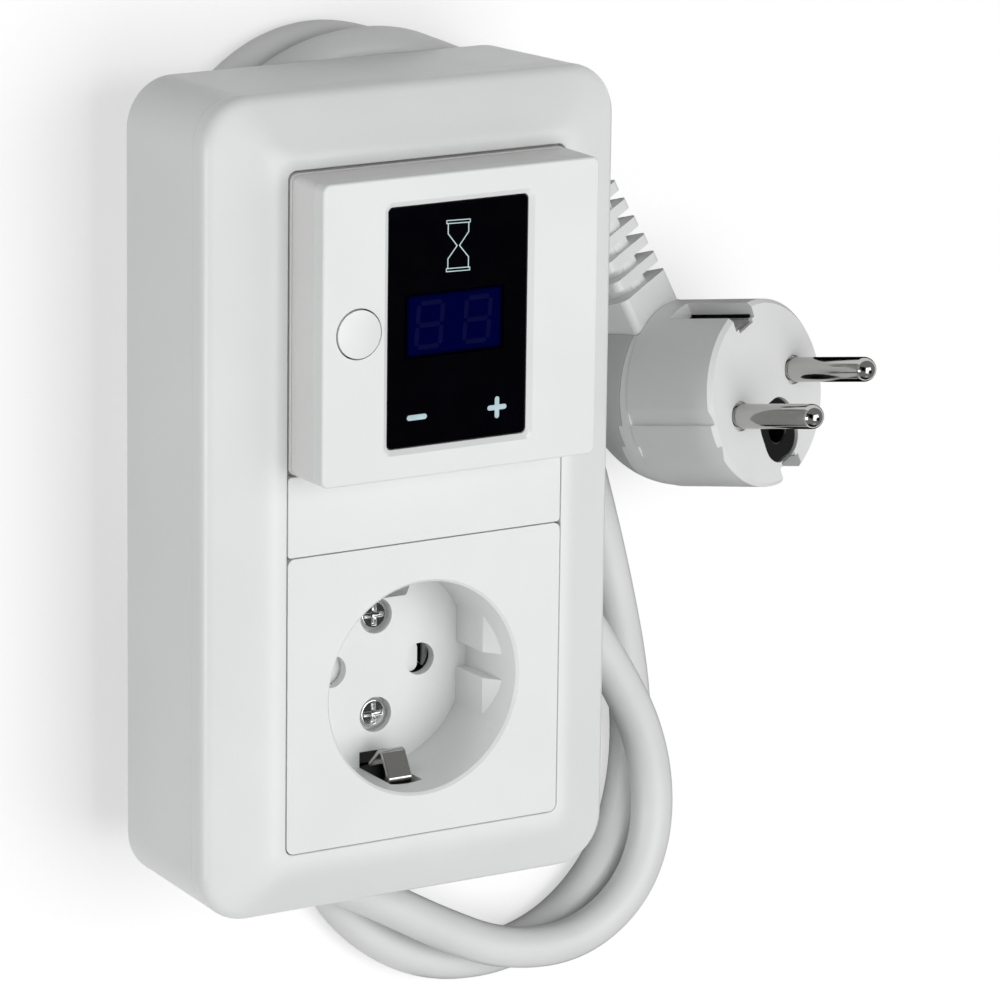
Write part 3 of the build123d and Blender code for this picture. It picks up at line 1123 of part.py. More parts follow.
def unit():
    """All the pieces in and on the box."""
    parts["back_box"] = back_box()
    parts["cover_frame"] = cover_frame()
    parts["filler_strip"] = filler_strip()
    hole_low, hole_high = POST_TOP - OVERRUN, YOKE_TOP + OVERRUN
    well_hole = rod(WELL_RADIUS + WELL_WALL + BASE_POCKET_GAP, hole_low, hole_high, 0, SOCKET_Y)
    timer_hole_size = TIMER_REAR_SIZE + 2 * GAP
    timer_hole = block(timer_hole_size, timer_hole_size, hole_low, hole_high, 0, TIMER_Y)
    parts["socket_yoke"] = yoke(SOCKET_Y, well_hole)
    parts["timer_yoke"] = yoke(TIMER_Y, timer_hole)
    parts["socket_yoke_screws"] = yoke_screws(SOCKET_Y)
    parts["timer_yoke_screws"] = yoke_screws(TIMER_Y)
    parts["socket_cover"] = socket_cover()
    parts["cover_screws"] = cover_screws()
    parts["shutter"] = shutter()
    parts["socket_base"] = socket_base()
    parts["live_contact"] = pin_contact(-1)
    parts["neutral_contact"] = pin_contact(1)
    parts["contact_screws"] = contact_screws()
    parts["earth_clip"] = earth_clip()
    parts["timer_housing"] = timer_housing()
    parts["timer_bezel"] = timer_bezel()
    parts["display_glass"] = slab(
        GLASS_WIDTH, GLASS_HEIGHT, GLASS_CORNER, GLASS_Z, GLASS_TOP, GLASS_OFFSET_X, TIMER_Y,
    )
    parts["push_button"] = push_button()
    parts["switch_plunger"] = switch_plunger()
    parts["tact_switch"] = tact_switch()
    parts["front_board"] = front_board()
    parts["display_module"] = block(DISPLAY_WIDTH, DISPLAY_HEIGHT, BOARD_TOP, GLASS_Z - GAP, DISPLAY_X, TIMER_Y)
    parts["icon_light"] = block(ICON_WIDTH, ICON_HEIGHT, BOARD_TOP, GLASS_Z - GAP, ICON_X, TIMER_Y + ICON_UP)
    parts["key_pads"] = key_pads()
    parts["power_board"] = power_board()
    parts["board_header"] = board_header()
    parts["relay"] = relay()
    parts["capacitor"] = capacitor()
    parts["supply_core"] = supply_core()
    parts["terminal_block"] = terminal_block()
    parts["terminal_screws"] = terminal_screws()
    parts["cord_gland"] = cord_gland()
    parts["sheath_end"] = sheath_end()
    parts["cord_clamp"] = cord_clamp()
    parts["clamp_screws"] = clamp_screws()
    wires()


unit()
plug()
cord()
os.makedirs("parts", exist_ok=True)
for name, shape in parts.items():
    placed = Pos(0, 0, -UNIT_DEPTH / 2) * shape
    parts[name] = placed
    export_step(placed, "parts/" + name + ".step")
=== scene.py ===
# %% [markdown]
# # A timer light switch with a socket outlet, its lead and its plug
# This lesson dresses a finished CAD model. The model comes in as a fixed frame of solids in metres, and
# each cell gives one part of it the look of the real thing. Nothing is moved: a better skin always lies
# where its solid lies.

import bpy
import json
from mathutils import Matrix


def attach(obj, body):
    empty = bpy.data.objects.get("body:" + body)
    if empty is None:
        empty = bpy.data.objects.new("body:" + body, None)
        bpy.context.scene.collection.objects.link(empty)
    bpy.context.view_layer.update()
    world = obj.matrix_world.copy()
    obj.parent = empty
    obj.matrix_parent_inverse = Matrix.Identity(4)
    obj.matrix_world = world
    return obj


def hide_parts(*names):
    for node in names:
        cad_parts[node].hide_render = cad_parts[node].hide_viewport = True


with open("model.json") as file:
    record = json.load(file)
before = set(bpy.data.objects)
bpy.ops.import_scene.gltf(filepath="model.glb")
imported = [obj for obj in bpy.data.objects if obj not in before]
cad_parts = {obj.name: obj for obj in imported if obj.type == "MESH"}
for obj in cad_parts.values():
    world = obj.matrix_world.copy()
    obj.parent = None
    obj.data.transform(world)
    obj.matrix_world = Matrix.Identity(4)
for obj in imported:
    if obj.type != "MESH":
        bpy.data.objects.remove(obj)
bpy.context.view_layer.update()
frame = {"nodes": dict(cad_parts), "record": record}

# %% [markdown]
# The solids were modelled in millimetres with zero at the back of the box, and then moved down by half the
# unit's depth. One small helper turns such a point into the frame's metres, so the shapes below can be read
# on a ruler. Another makes an object and links it into the scene.

# %% A ruler for the model
import json
import math

import bmesh
import bpy
import numpy as np
from mathutils import Matrix, Vector

MM = 0.001
HALF_DEPTH = 24.6


def placed(points):
    """Points in millimetres above the back of the box, as metres in the frame: z less half the depth."""
    return (np.asarray(points, float) - (0.0, 0.0, HALF_DEPTH)) * MM


def linked(name, data):
    """A new object of some data, linked into the scene."""
    thing = bpy.data.objects.new(name, data)
    bpy.context.scene.collection.objects.link(thing)
    return thing


print("back of the box at", round(float(placed([[0, 0, 0]])[0, 2]), 4))

# %% [markdown]
# ## The camera
# The photograph looks at the unit from its upper left with a long lens. Straight edges of the box and the
# circle of the well gave the eye's place and the three axes of the picture: to the right, up, and away from
# the eye.

# %% The camera at the photograph's place
right = Vector((0.85104, 0.01269, 0.52494))
up = Vector((0.11751, 0.96975, -0.21397))
away = Vector((0.51178, -0.24378, -0.82380))
eye = Vector(placed([[-572.39, 278.29, 983.63]])[0])
camera_data = bpy.data.cameras.new("photo_camera")
camera_data.sensor_width = 36.0
camera_data.lens = 225.54
camera_data.clip_start = 0.05
camera_data.clip_end = 20.0
camera = linked("photo_camera", camera_data)
camera.matrix_world = Matrix((
    (right.x, up.x, -away.x, eye.x),
    (right.y, up.y, -away.y, eye.y),
    (right.z, up.z, -away.z, eye.z),
    (0, 0, 0, 1),
))
bpy.context.scene.camera = camera
print("camera", round(eye.length, 3), "m from the middle of the unit")

# %% [markdown]
# ## The lead
# A mains lead is one flexible tube, so it is one curve: a spline with listed points. It leaves the gland in
# the back, runs out at the lower right and up under the box, shows above the top edge, winds twice under the
# back, comes out again at the lower right, crosses back under the box and climbs into the plug's strain
# relief. The turns come from the same oval that the solid follows, which draws in by one step each turn.

# %% The route of the lead
LOW_LAYER = -12.6
HIGH_LAYER = -4.35
LEAD_DIAMETER = 8.2
TURNS = 2
POINTS_PER_TURN = 16
OVAL_MIDDLE = (10.3, 2.6)
OVAL_HALF_SIZES = (39.5, 63.5)
DRAWN_IN_PER_TURN = 11.5
lead_in = [
    (1.2, -67.2, 0.5), (1.2, -67.2, -7.2), (2.4, -73, LOW_LAYER), (7.5, -88.5, LOW_LAYER),
    (17.5, -100, LOW_LAYER), (31, -107.3, LOW_LAYER), (46, -108.8, LOW_LAYER), (61, -104, LOW_LAYER),
    (72.5, -92.5, LOW_LAYER), (77.5, -77, LOW_LAYER), (77.5, -59, LOW_LAYER), (72.3, -35, LOW_LAYER),
    (64.5, -8, LOW_LAYER), (55.5, 20, LOW_LAYER), (45.2, 50, LOW_LAYER), (26.5, 70, LOW_LAYER),
    (6.5, 78, LOW_LAYER), (-12.5, 72.7, LOW_LAYER), (-25.5, 56, LOW_LAYER), (-29.6, 32.6, LOW_LAYER),
]
lead_out = [
    (-5.9, -10.5, LOW_LAYER), (-3.5, -22, -9), (-3, -36, HIGH_LAYER), (-7, -51, HIGH_LAYER),
    (-11.5, -63.5, HIGH_LAYER), (-9, -74.5, HIGH_LAYER), (1.5, -83, HIGH_LAYER), (15, -90, HIGH_LAYER),
    (28.5, -97.8, HIGH_LAYER), (43, -104.8, HIGH_LAYER), (60, -106, HIGH_LAYER), (73, -98, HIGH_LAYER),
    (78.3, -84, HIGH_LAYER), (76, -66, HIGH_LAYER), (66, -48, HIGH_LAYER), (51, -28, HIGH_LAYER),
    (28, -7, HIGH_LAYER), (4, 8, HIGH_LAYER), (-16, 23, HIGH_LAYER), (-26, 41, HIGH_LAYER),
    (-22, 60, HIGH_LAYER), (-6, 74, HIGH_LAYER), (14, 77, HIGH_LAYER), (29.5, 71, -5), (41, 66, -7.8),
    (49.8, 61, -11), (55.6, 55.13, -10.61), (57.92, 49.68, -9.65),
]


def wound_turns():
    """Points of an oval on the low layer that starts at its left end and draws in by one step each turn."""
    turn = np.linspace(0, TURNS, TURNS * POINTS_PER_TURN + 1)
    angle = math.pi + 2 * math.pi * turn
    across = OVAL_MIDDLE[0] + (OVAL_HALF_SIZES[0] - DRAWN_IN_PER_TURN * turn) * np.cos(angle)
    along = OVAL_MIDDLE[1] + (OVAL_HALF_SIZES[1] - DRAWN_IN_PER_TURN * turn) * np.sin(angle)
    return np.stack([across, along, np.full_like(turn, LOW_LAYER)], axis=1)


route = placed(np.vstack([lead_in, wound_turns(), lead_out]))
print("route points", len(route))

# %% [markdown]
# The curve's bevel has a depth of one, so the radius of each point is the lead's own radius in metres.

# %% The lead itself
lead_curve = bpy.data.curves.new("mains_lead", "CURVE")
lead_curve.dimensions = "3D"
lead_spline = lead_curve.splines.new("NURBS")
lead_spline.points.add(len(route) - 1)
lead_spline.points.foreach_set("co", np.hstack([route, np.ones((len(route), 1))]).ravel())
lead_spline.points.foreach_set("radius", np.full(len(route), LEAD_DIAMETER / 2 * MM))
lead_spline.order_u = 3
lead_spline.use_endpoint_u = True
lead_spline.resolution_u = 10
lead_curve.bevel_depth = 1.0
lead_curve.bevel_resolution = 6
lead_curve.use_fill_caps = True
mains_lead = linked("mains_lead", lead_curve)
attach(mains_lead, "root")
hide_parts("cord_lead_in", "cord_coil", "cord_lead_out")
print("lead with", len(lead_spline.points), "points")

# %% [markdown]
# ## Floor and light
# The photograph is a plain studio shot on white. A matt white floor keeps the object's soft shadow. The
# camera, and what mirrors in metal or glass, sees a little more light from it, so that it comes out white
# without more light on the object. The light that the floor throws back on the object is held low. A few
# helpers make the nodes that all materials here are built from.

# %% Helpers for nodes


def node_tree(owner, output_kind="ShaderNodeOutputMaterial"):
    """The nodes of a material or world, cleared except for a fresh output."""
    owner.use_nodes = True
    tree = owner.node_tree
    tree.nodes.clear()
    return tree, tree.nodes.new(output_kind)


def combined(tree, operation, first, second=None):
    """A Math node on a value, and on a second value or number where the operation takes two."""
    calculation = tree.nodes.new("ShaderNodeMath")
    calculation.operation = operation
    tree.links.new(first, calculation.inputs[0])
    if isinstance(second, float):
        calculation.inputs[1].default_value = second
    elif second is not None:
        tree.links.new(second, calculation.inputs[1])
    return calculation.outputs[0]


def toned(tree, value, first, second):
    """Two colours mixed by a value."""
    mix = tree.nodes.new("ShaderNodeMix")
    mix.data_type = "RGBA"
    mix.inputs["A"].default_value = (*first, 1)
    mix.inputs["B"].default_value = (*second, 1)
    tree.links.new(value, mix.inputs["Factor"])
    return mix.outputs["Result"]


print("node helpers ready")

# %% The floor
FLOOR_HEIGHT = -16.7
FLOOR_Z = float(placed([[0, 0, FLOOR_HEIGHT]])[0, 2])
FLOOR_HALF_SIDE = 6.0
FLOOR_GREY = (0.60, 0.60, 0.60)
BOUNCE_GREY = (0.38, 0.38, 0.38)
GLOW_SHARE = 0.52
SQUARE = ((-1, -1), (1, -1), (1, 1), (-1, 1))
floor_material = bpy.data.materials.new("white_floor")
tree, output = node_tree(floor_material)
path = tree.nodes.new("ShaderNodeLightPath")
matt = tree.nodes.new("ShaderNodeBsdfDiffuse")
tree.links.new(toned(tree, path.outputs["Is Diffuse Ray"], FLOOR_GREY, BOUNCE_GREY), matt.inputs["Color"])
seen = combined(tree, "MAXIMUM", path.outputs["Is Camera Ray"], path.outputs["Is Glossy Ray"])
seen = combined(tree, "MAXIMUM", seen, path.outputs["Is Transmission Ray"])
glow = tree.nodes.new("ShaderNodeEmission")
glow.inputs["Color"].default_value = (1, 1, 1, 1)
tree.links.new(combined(tree, "MULTIPLY", seen, GLOW_SHARE), glow.inputs["Strength"])
both = tree.nodes.new("ShaderNodeAddShader")
tree.links.new(matt.outputs[0], both.inputs[0])
tree.links.new(glow.outputs[0], both.inputs[1])
tree.links.new(both.outputs[0], output.inputs["Surface"])
floor_mesh = bpy.data.meshes.new("studio_floor")
floor_corners = [(x * FLOOR_HALF_SIDE, y * FLOOR_HALF_SIDE, FLOOR_Z) for x, y in SQUARE]
floor_mesh.from_pydata(floor_corners, [], [(0, 1, 2, 3)])
floor_mesh.materials.append(floor_material)
floor = linked("studio_floor", floor_mesh)
print("floor at", round(FLOOR_Z, 4))

# %% [markdown]
# The world is pure white to the camera and much weaker as a light.

# %% The world
WORLD_LIGHT = 0.27
WORLD_SEEN = 1.0
world = bpy.data.worlds.new("white_studio")
bpy.context.scene.world = world
tree, output = node_tree(world, "ShaderNodeOutputWorld")
world_mix = tree.nodes.new("ShaderNodeMixShader")
for place, strength in ((1, WORLD_LIGHT), (2, WORLD_SEEN)):
    background = tree.nodes.new("ShaderNodeBackground")
    background.inputs["Color"].default_value = (1.0, 1.0, 1.0, 1)
    background.inputs["Strength"].default_value = strength
    tree.links.new(background.outputs[0], world_mix.inputs[place])
world_path = tree.nodes.new("ShaderNodeLightPath")
tree.links.new(world_path.outputs["Is Camera Ray"], world_mix.inputs["Fac"])
tree.links.new(world_mix.outputs[0], output.inputs["Surface"])
bpy.context.scene.view_settings.view_transform = "Standard"
print("world strength", WORLD_LIGHT)

# %% [markdown]
# A large soft lamp hangs over the front and weaker ones at the left and below. Black cards that only
# reflections see keep the glass and the pins dark. One of them lies on the floor beside the plug.

# %% Lamps and black cards
CARD_LIFT = 0.0005


def soft_lamp(name, place, size, watts):
    """A square lamp at a place in metres, turned to face the middle of the unit."""
    data = bpy.data.lights.new(name, "AREA")
    data.shape = "SQUARE"
    data.size = size
    data.energy = watts
    lamp = linked(name, data)
    lamp.location = place
    lamp.rotation_mode = "QUATERNION"
    lamp.rotation_quaternion = (-Vector(place)).to_track_quat("-Z", "Y")


soft_lamp("front_lamp", (0.30, -0.02, 1.35), size=1.2, watts=13.2)
soft_lamp("side_lamp", (-1.37, -0.25, 0.33), size=0.5, watts=5.6)
soft_lamp("low_lamp", (0.25, -1.3, 0.75), size=0.6, watts=0.3)

card_material = bpy.data.materials.new("black_card")
tree, output = node_tree(card_material)
card_shade = tree.nodes.new("ShaderNodeBsdfDiffuse")
card_shade.inputs["Color"].default_value = (0.0, 0.0, 0.0, 1)
tree.links.new(card_shade.outputs[0], output.inputs["Surface"])


def black_card(name, middle, width, height, facing=None):
    """A flat black card that only reflections see. It faces the unit, if no other way is given."""
    facing = Vector(facing) if facing else -Vector(middle).normalized()
    turn = facing.to_track_quat("Z", "Y").to_matrix()
    corners = [Vector(middle) + turn @ Vector((x * width / 2, y * height / 2, 0)) for x, y in SQUARE]
    mesh = bpy.data.meshes.new(name)
    mesh.from_pydata([tuple(corner) for corner in corners], [], [(0, 1, 2, 3)])
    mesh.materials.append(card_material)
    card = linked(name, mesh)
    for kind in ("camera", "diffuse", "transmission", "volume_scatter", "shadow"):
        setattr(card, "visible_" + kind, False)


black_card("glass_card", (0.62, -0.29, 1.0), width=0.55, height=0.75)
black_card("metal_card", (-0.9, 0.5, 0.35), width=0.35, height=0.9)
black_card("pin_card", (0.05, -0.75, 0.09), width=0.8, height=0.42)
black_card("tip_card", (-0.70, 0.33, 1.0), width=0.9, height=0.9)
black_card("floor_card", (0.115, -0.04, FLOOR_Z + CARD_LIFT), width=0.17, height=0.20, facing=(0, 0, 1))

# %% [markdown]
# ## Moulded plastic and metal
# White switch covers are injection moulded: almost even in colour, with a satin gloss, a very fine grain
# from the mould and slow, faint changes of tone. The recipe takes all of it from noise on object
# coordinates: slow noise for the tone, finer noise for the gloss, and the finest for the bump. The metal
# recipe has one noise for all three, which can be pulled long.

# %% The recipes
NOISE_RANGE = (0.3, 0.7)
GLOSS_RANGE = (0.88, 1.12)
GLOSS_FINER = 4
FINE_DETAIL = 3.0
METAL_LINE = 0.0004
METAL_DETAIL = 4.0
METAL_DARKEST = 0.95
METAL_GLOSS_RANGE = (0.9, 1.15)


def surface(name):
    """A material with one Principled shader, its nodes, the shader, and object coordinates for its noise."""
    material = bpy.data.materials.new(name)
    tree, output = node_tree(material)
    shader = tree.nodes.new("ShaderNodeBsdfPrincipled")
    tree.links.new(shader.outputs[0], output.inputs["Surface"])
    return material, tree, shader, tree.nodes.new("ShaderNodeTexCoord").outputs["Object"]


def noise(tree, coordinates, size, detail=2.0):
    """Noise whose features are about size metres across."""
    texture = tree.nodes.new("ShaderNodeTexNoise")
    texture.inputs["Scale"].default_value = 1.0 / size
    texture.inputs["Detail"].default_value = detail
    tree.links.new(coordinates, texture.inputs["Vector"])
    return texture.outputs["Fac"]


def ranged(tree, value, low=0, high=1):
    """A value from noise, spread between two numbers."""
    spread = tree.nodes.new("ShaderNodeMapRange")
    spread.inputs["From Min"].default_value = NOISE_RANGE[0]
    spread.inputs["From Max"].default_value = NOISE_RANGE[1]
    spread.inputs["To Min"].default_value = low
    spread.inputs["To Max"].default_value = high
    tree.links.new(value, spread.inputs["Value"])
    return spread.outputs["Result"]


def bumped(tree, value, depth):
    """A bump of some depth in metres from a value."""
    bump = tree.nodes.new("ShaderNodeBump")
    bump.inputs["Strength"].default_value = 1.0
    bump.inputs["Distance"].default_value = depth
    tree.links.new(value, bump.inputs["Height"])
    return bump.outputs["Normal"]


def moulded(name, colour, roughness, tone=0.02, tone_size=0.03, grain=0.0006, grain_depth=0.000004):
    """Moulded plastic: colour times one plus or less tone, a gloss that varies a little, and a fine grain."""
    material, tree, shader, where = surface(name)
    dark = tuple(c * (1 - tone) for c in colour)
    light = tuple(min(1.0, c * (1 + tone)) for c in colour)
    shade = toned(tree, ranged(tree, noise(tree, where, tone_size)), dark, light)
    gloss = noise(tree, where, tone_size / GLOSS_FINER, FINE_DETAIL)
    gloss = ranged(tree, gloss, roughness * GLOSS_RANGE[0], roughness * GLOSS_RANGE[1])
    tree.links.new(shade, shader.inputs["Base Color"])
    tree.links.new(gloss, shader.inputs["Roughness"])
    tree.links.new(bumped(tree, noise(tree, where, grain, FINE_DETAIL), grain_depth), shader.inputs["Normal"])
    return material


def metal(name, colour, roughness, stretch=(1.0, 1.0, 1.0), scratch=0.0000006):
    """Plated or drawn metal: fine noise, which a small number in stretch pulls long on that axis."""
    material, tree, shader, where = surface(name)
    shader.inputs["Metallic"].default_value = 1.0
    pulled = tree.nodes.new("ShaderNodeMapping")
    pulled.inputs["Scale"].default_value = stretch
    tree.links.new(where, pulled.inputs["Vector"])
    lines = noise(tree, pulled.outputs["Vector"], METAL_LINE, METAL_DETAIL)
    dark = tuple(c * METAL_DARKEST for c in colour)
    gloss = ranged(tree, lines, roughness * METAL_GLOSS_RANGE[0], roughness * METAL_GLOSS_RANGE[1])
    tree.links.new(toned(tree, ranged(tree, lines), dark, colour), shader.inputs["Base Color"])
    tree.links.new(gloss, shader.inputs["Roughness"])
    tree.links.new(bumped(tree, lines, scratch), shader.inputs["Normal"])
    return material


print("recipes ready")

# %% [markdown]
# Each finish has its own colour and roughness. The soft parts of the lead and the plug have a coarser grain.
# Three finishes aren't in the record: a slightly darker white for the timer's body, a much darker white that
# paints the shade on the plug's rear shell, and a bright but unpolished metal for the spring leaves in the
# pin holes.

# %% The finishes
BLACK_SPECULAR = 0.3
soft_grain = {"tone": 0.03, "tone_size": 0.02, "grain": 0.0008, "grain_depth": 0.00001}
cord_grain = {"tone": 0.03, "tone_size": 0.02, "grain": 0.0012, "grain_depth": 0.000012}
plastics = {
    "housing_white": {"colour": (0.875, 0.89, 0.885), "roughness": 0.34},
    "timer_white": {"colour": (0.875, 0.89, 0.885), "roughness": 0.34},
    "body_white": {"colour": (0.85, 0.845, 0.84), "roughness": 0.36},
    "button_white": {"colour": (0.90, 0.91, 0.905), "roughness": 0.26, "grain_depth": 0.000002},
    "cord_white": {"colour": (0.80, 0.81, 0.805), "roughness": 0.42, **cord_grain},
    "plug_white": {"colour": (0.86, 0.87, 0.865), "roughness": 0.45, **soft_grain},
    # The plug white darkened by a third: painted shade for the plug's rear shell.
    "rear_painted_shade": {"colour": (0.58, 0.59, 0.585), "roughness": 0.45, **soft_grain},
    "base_grey": {"colour": (0.05, 0.05, 0.052), "roughness": 0.5, "tone": 0.06},
    "black_plastic": {"colour": (0.004, 0.004, 0.0045), "roughness": 0.12, "tone": 0.2},
    "relay_black": {"colour": (0.03, 0.03, 0.033), "roughness": 0.5, "tone": 0.1},
    "capacitor_sleeve": {"colour": (0.05, 0.07, 0.22), "roughness": 0.3, "tone": 0.1},
    "display_dark": {"colour": (0.02, 0.02, 0.05), "roughness": 0.3, "tone": 0.1},
    "board_green": {"colour": (0.04, 0.20, 0.09), "roughness": 0.4, "tone": 0.15, "tone_size": 0.006},
    "wire_brown": {"colour": (0.20, 0.09, 0.04), "roughness": 0.35, "tone": 0.05},
    "wire_blue": {"colour": (0.05, 0.15, 0.42), "roughness": 0.35, "tone": 0.05},
    "wire_green": {"colour": (0.18, 0.42, 0.09), "roughness": 0.35, "tone": 0.05},
}
metals = {
    "steel": {"colour": (0.85, 0.85, 0.85), "roughness": 0.10, "scratch": 0.000008},
    "leaf_metal": {"colour": (0.90, 0.90, 0.89), "roughness": 0.45},
    "nickel": {"colour": (0.50, 0.495, 0.485), "roughness": 0.10},
    "copper": {
        "colour": (0.70, 0.38, 0.22), "roughness": 0.35, "stretch": (1.0, 0.1, 1.0), "scratch": 0.00002,
    },
}
finishes = {name: moulded(name, **look) for name, look in plastics.items()}
finishes.update({name: metal(name, **look) for name, look in metals.items()})
black_shader = finishes["black_plastic"].node_tree.nodes["Principled BSDF"]
black_shader.inputs["Specular IOR Level"].default_value = BLACK_SPECULAR
print("finishes", len(finishes))

# %% [markdown]
# ## Dark glass
# The window of the timer is almost black and polished. A dark base with a clear, sharp gloss does it. Only
# a breath of blue lies in it, as in the photograph. With it all finishes are there, and each solid gets its
# own.

# %% The dark glass
GLASS_BLACK = (0.0006, 0.0006, 0.001)
GLASS_BLUE = (0.0009, 0.0009, 0.0025)
GLASS_CLOUD = 0.015
GLASS_SMEAR = 0.004
finishes["dark_glass"], tree, shader, where = surface("dark_glass")
shade = toned(tree, ranged(tree, noise(tree, where, GLASS_CLOUD)), GLASS_BLACK, GLASS_BLUE)
tree.links.new(shade, shader.inputs["Base Color"])
gloss = ranged(tree, noise(tree, where, GLASS_SMEAR), low=0.05, high=0.08)
tree.links.new(gloss, shader.inputs["Roughness"])
shader.inputs["IOR"].default_value = 1.35

slot_of = {row["node"]: row["material_slot"] for row in frame["record"]["subparts"]}
body_of = {node: body for body, nodes in frame["record"]["behaviour"]["bodies"].items() for node in nodes}
for name, slot in slot_of.items():
    node = frame["nodes"][name]
    node.data.materials.clear()
    node.data.materials.append(finishes[slot])
# The rear shell gets the darker white, which is painted shade.
frame["nodes"]["plug_rear_shell"].data.materials[0] = finishes["rear_painted_shade"]
mains_lead.data.materials.append(finishes["cord_white"])
print("painted", len(slot_of), "nodes")

# %% [markdown]
# ## Softened edges
# No moulded edge is a knife: each has a small radius that catches a line of light. A CAD node is a set of
# loose triangles, so a copy of it is welded, its flat areas are joined, and a Bevel modifier rounds what is
# left sharp. A Weighted Normal modifier keeps the large flat faces flat in the light. The copy stands for
# its node.

# %% Soft copies of the visible solids
WELD_DISTANCE = 0.000002
FLAT_ANGLE = math.radians(1.0)
SHARP_ANGLE = math.radians(32.0)
BEVEL_SEGMENTS = 2
FACE_WEIGHT = 100


def stand_for(piece, node):
    """Gives a piece the body of a node, and lets it stand for the node."""
    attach(piece, body_of[node])
    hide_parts(node)


def softened(node, radius):
    """A welded copy of a node with edges rounded by a radius in millimetres, which replaces the node."""
    mesh = frame["nodes"][node].data.copy()
    work = bmesh.new()
    work.from_mesh(mesh)
    bmesh.ops.remove_doubles(work, verts=work.verts, dist=WELD_DISTANCE)
    bmesh.ops.dissolve_limit(
        work, angle_limit=FLAT_ANGLE, verts=work.verts, edges=work.edges, delimit={"NORMAL"},
    )
    work.to_mesh(mesh)
    work.free()
    mesh.name = node + "_skin"
    piece = linked(node + "_skin", mesh)
    mesh.shade_smooth()
    mesh.set_sharp_from_angle(angle=SHARP_ANGLE)
    if radius > 0:
        bevel = piece.modifiers.new("rounding", "BEVEL")
        bevel.width = radius * MM
        bevel.segments = BEVEL_SEGMENTS
        bevel.limit_method = "ANGLE"
        bevel.angle_limit = SHARP_ANGLE
        bevel.use_clamp_overlap = True
    weighted = piece.modifiers.new("flat_faces", "WEIGHTED_NORMAL")
    weighted.weight = FACE_WEIGHT
    weighted.keep_sharp = True
    stand_for(piece, node)


edge_radii = {
    "back_box": 0.5, "filler_strip": 0.15, "socket_cover": 0.25, "timer_bezel": 0.2, "display_glass": 0.1,
    "plug_body": 0.3, "plug_rear_shell": 0.3, "plug_strain_relief": 0.0, "cord_gland": 0.3,
    "plug_earth_insert": 0.3, "plug_earth_clips": 0.1, "earth_clip": 0.15, "cover_screws": 0.1,
    "plug_pins": 0.0,
}
for node, radius in edge_radii.items():
    softened(node, radius)

# %% [markdown]
# ## Surfaces from arrays
# New pieces are grids of points worked out at once with numpy. One helper joins each point to its
# neighbours. Another gives rounded rectangles, one per row, which suit covers and frames of all kinds. The
# last one rounds the corners of the section that those rows make.

# %% Grid helpers
GRID_WELD = 0.0000005
CORNER_STEPS = 10
BEND_STEPS = 6
LARGEST_REACH = 0.48


def grid_piece(name, points, wrap_rows=False, capped=False, angle=30.0):
    """A mesh from a grid of points: quads between neighbours, closed round its columns, with its rows closed
    round too or capped at both ends."""
    rows, columns = points.shape[:2]
    index = np.arange(rows * columns).reshape(rows, columns)
    if wrap_rows:
        index = np.vstack([index, index[:1]])
    index = np.hstack([index, index[:, :1]])
    quads = np.stack([index[:-1, :-1], index[:-1, 1:], index[1:, 1:], index[1:, :-1]], axis=-1)
    faces = quads.reshape(-1, 4).tolist()
    if capped:
        faces.append(index[0, :columns][::-1].tolist())
        faces.append(index[-1, :columns].tolist())
    mesh = bpy.data.meshes.new(name)
    mesh.from_pydata(points.reshape(-1, 3).tolist(), [], faces)
    work = bmesh.new()
    work.from_mesh(mesh)
    bmesh.ops.remove_doubles(work, verts=work.verts, dist=GRID_WELD)
    bmesh.ops.recalc_face_normals(work, faces=work.faces)
    work.to_mesh(mesh)
    work.free()
    mesh.shade_smooth()
    mesh.set_sharp_from_angle(angle=math.radians(angle))
    return linked(name, mesh)


def rounded_rows(rows):
    """Rounded rectangles, one per row of (half width, half length, corner, height): quarter circles of the
    corner radius about the four corner middles, joined by straight sides."""
    rows = np.asarray(rows, float)
    half_x, half_y, corner, height = (rows[:, i, None] for i in range(4))
    quarter = np.arange(4)[:, None]
    angle = (quarter * 90 + np.linspace(0, 90, CORNER_STEPS + 1)[None, :]).ravel() * math.pi / 180
    sign_x = np.repeat([1, -1, -1, 1], CORNER_STEPS + 1)[None, :]
    sign_y = np.repeat([1, 1, -1, -1], CORNER_STEPS + 1)[None, :]
    x = sign_x * (half_x - corner) + corner * np.cos(angle)[None, :]
    y = sign_y * (half_y - corner) + corner * np.sin(angle)[None, :]
    return np.stack([x, y, np.broadcast_to(height, x.shape)], axis=-1)


def eased(rows, radii):
    """A closed chain of rows with each corner replaced by a parabola, (1 - t)^2 first + 2 t (1 - t) corner +
    t^2 last. It starts one radius before the corner and ends one radius after it, or just short of half the
    way to the next one. Lengths are measured in the section, which is half width and height."""
    rows = np.asarray(rows, float)
    before, after = np.roll(rows, 1, axis=0), np.roll(rows, -1, axis=0)
    section = (0, 3)
    back = np.linalg.norm((before - rows)[:, section], axis=1, keepdims=True)
    ahead = np.linalg.norm((after - rows)[:, section], axis=1, keepdims=True)
    reach = np.asarray(radii, float)[:, None]
    first = rows + (before - rows) * np.minimum(LARGEST_REACH, reach / back)
    last = rows + (after - rows) * np.minimum(LARGEST_REACH, reach / ahead)
    t = np.linspace(0, 1, BEND_STEPS + 1)[None, :, None]
    bends = (1 - t) ** 2 * first[:, None] + 2 * t * (1 - t) * rows[:, None] + t ** 2 * last[:, None]
    return bends.reshape(-1, 4)


print("grid helpers ready")

# %% [markdown]
# ## The cover frame
# The frame is one moulding: a short upright edge that continues the box, a slope on all four sides and a
# narrow flat rim round the long opening. On the real one the slope rolls softly into both. Its section is a
# chain of ten rounded rectangles with a radius of their own at each corner, so it is drawn as a ring of
# rows.

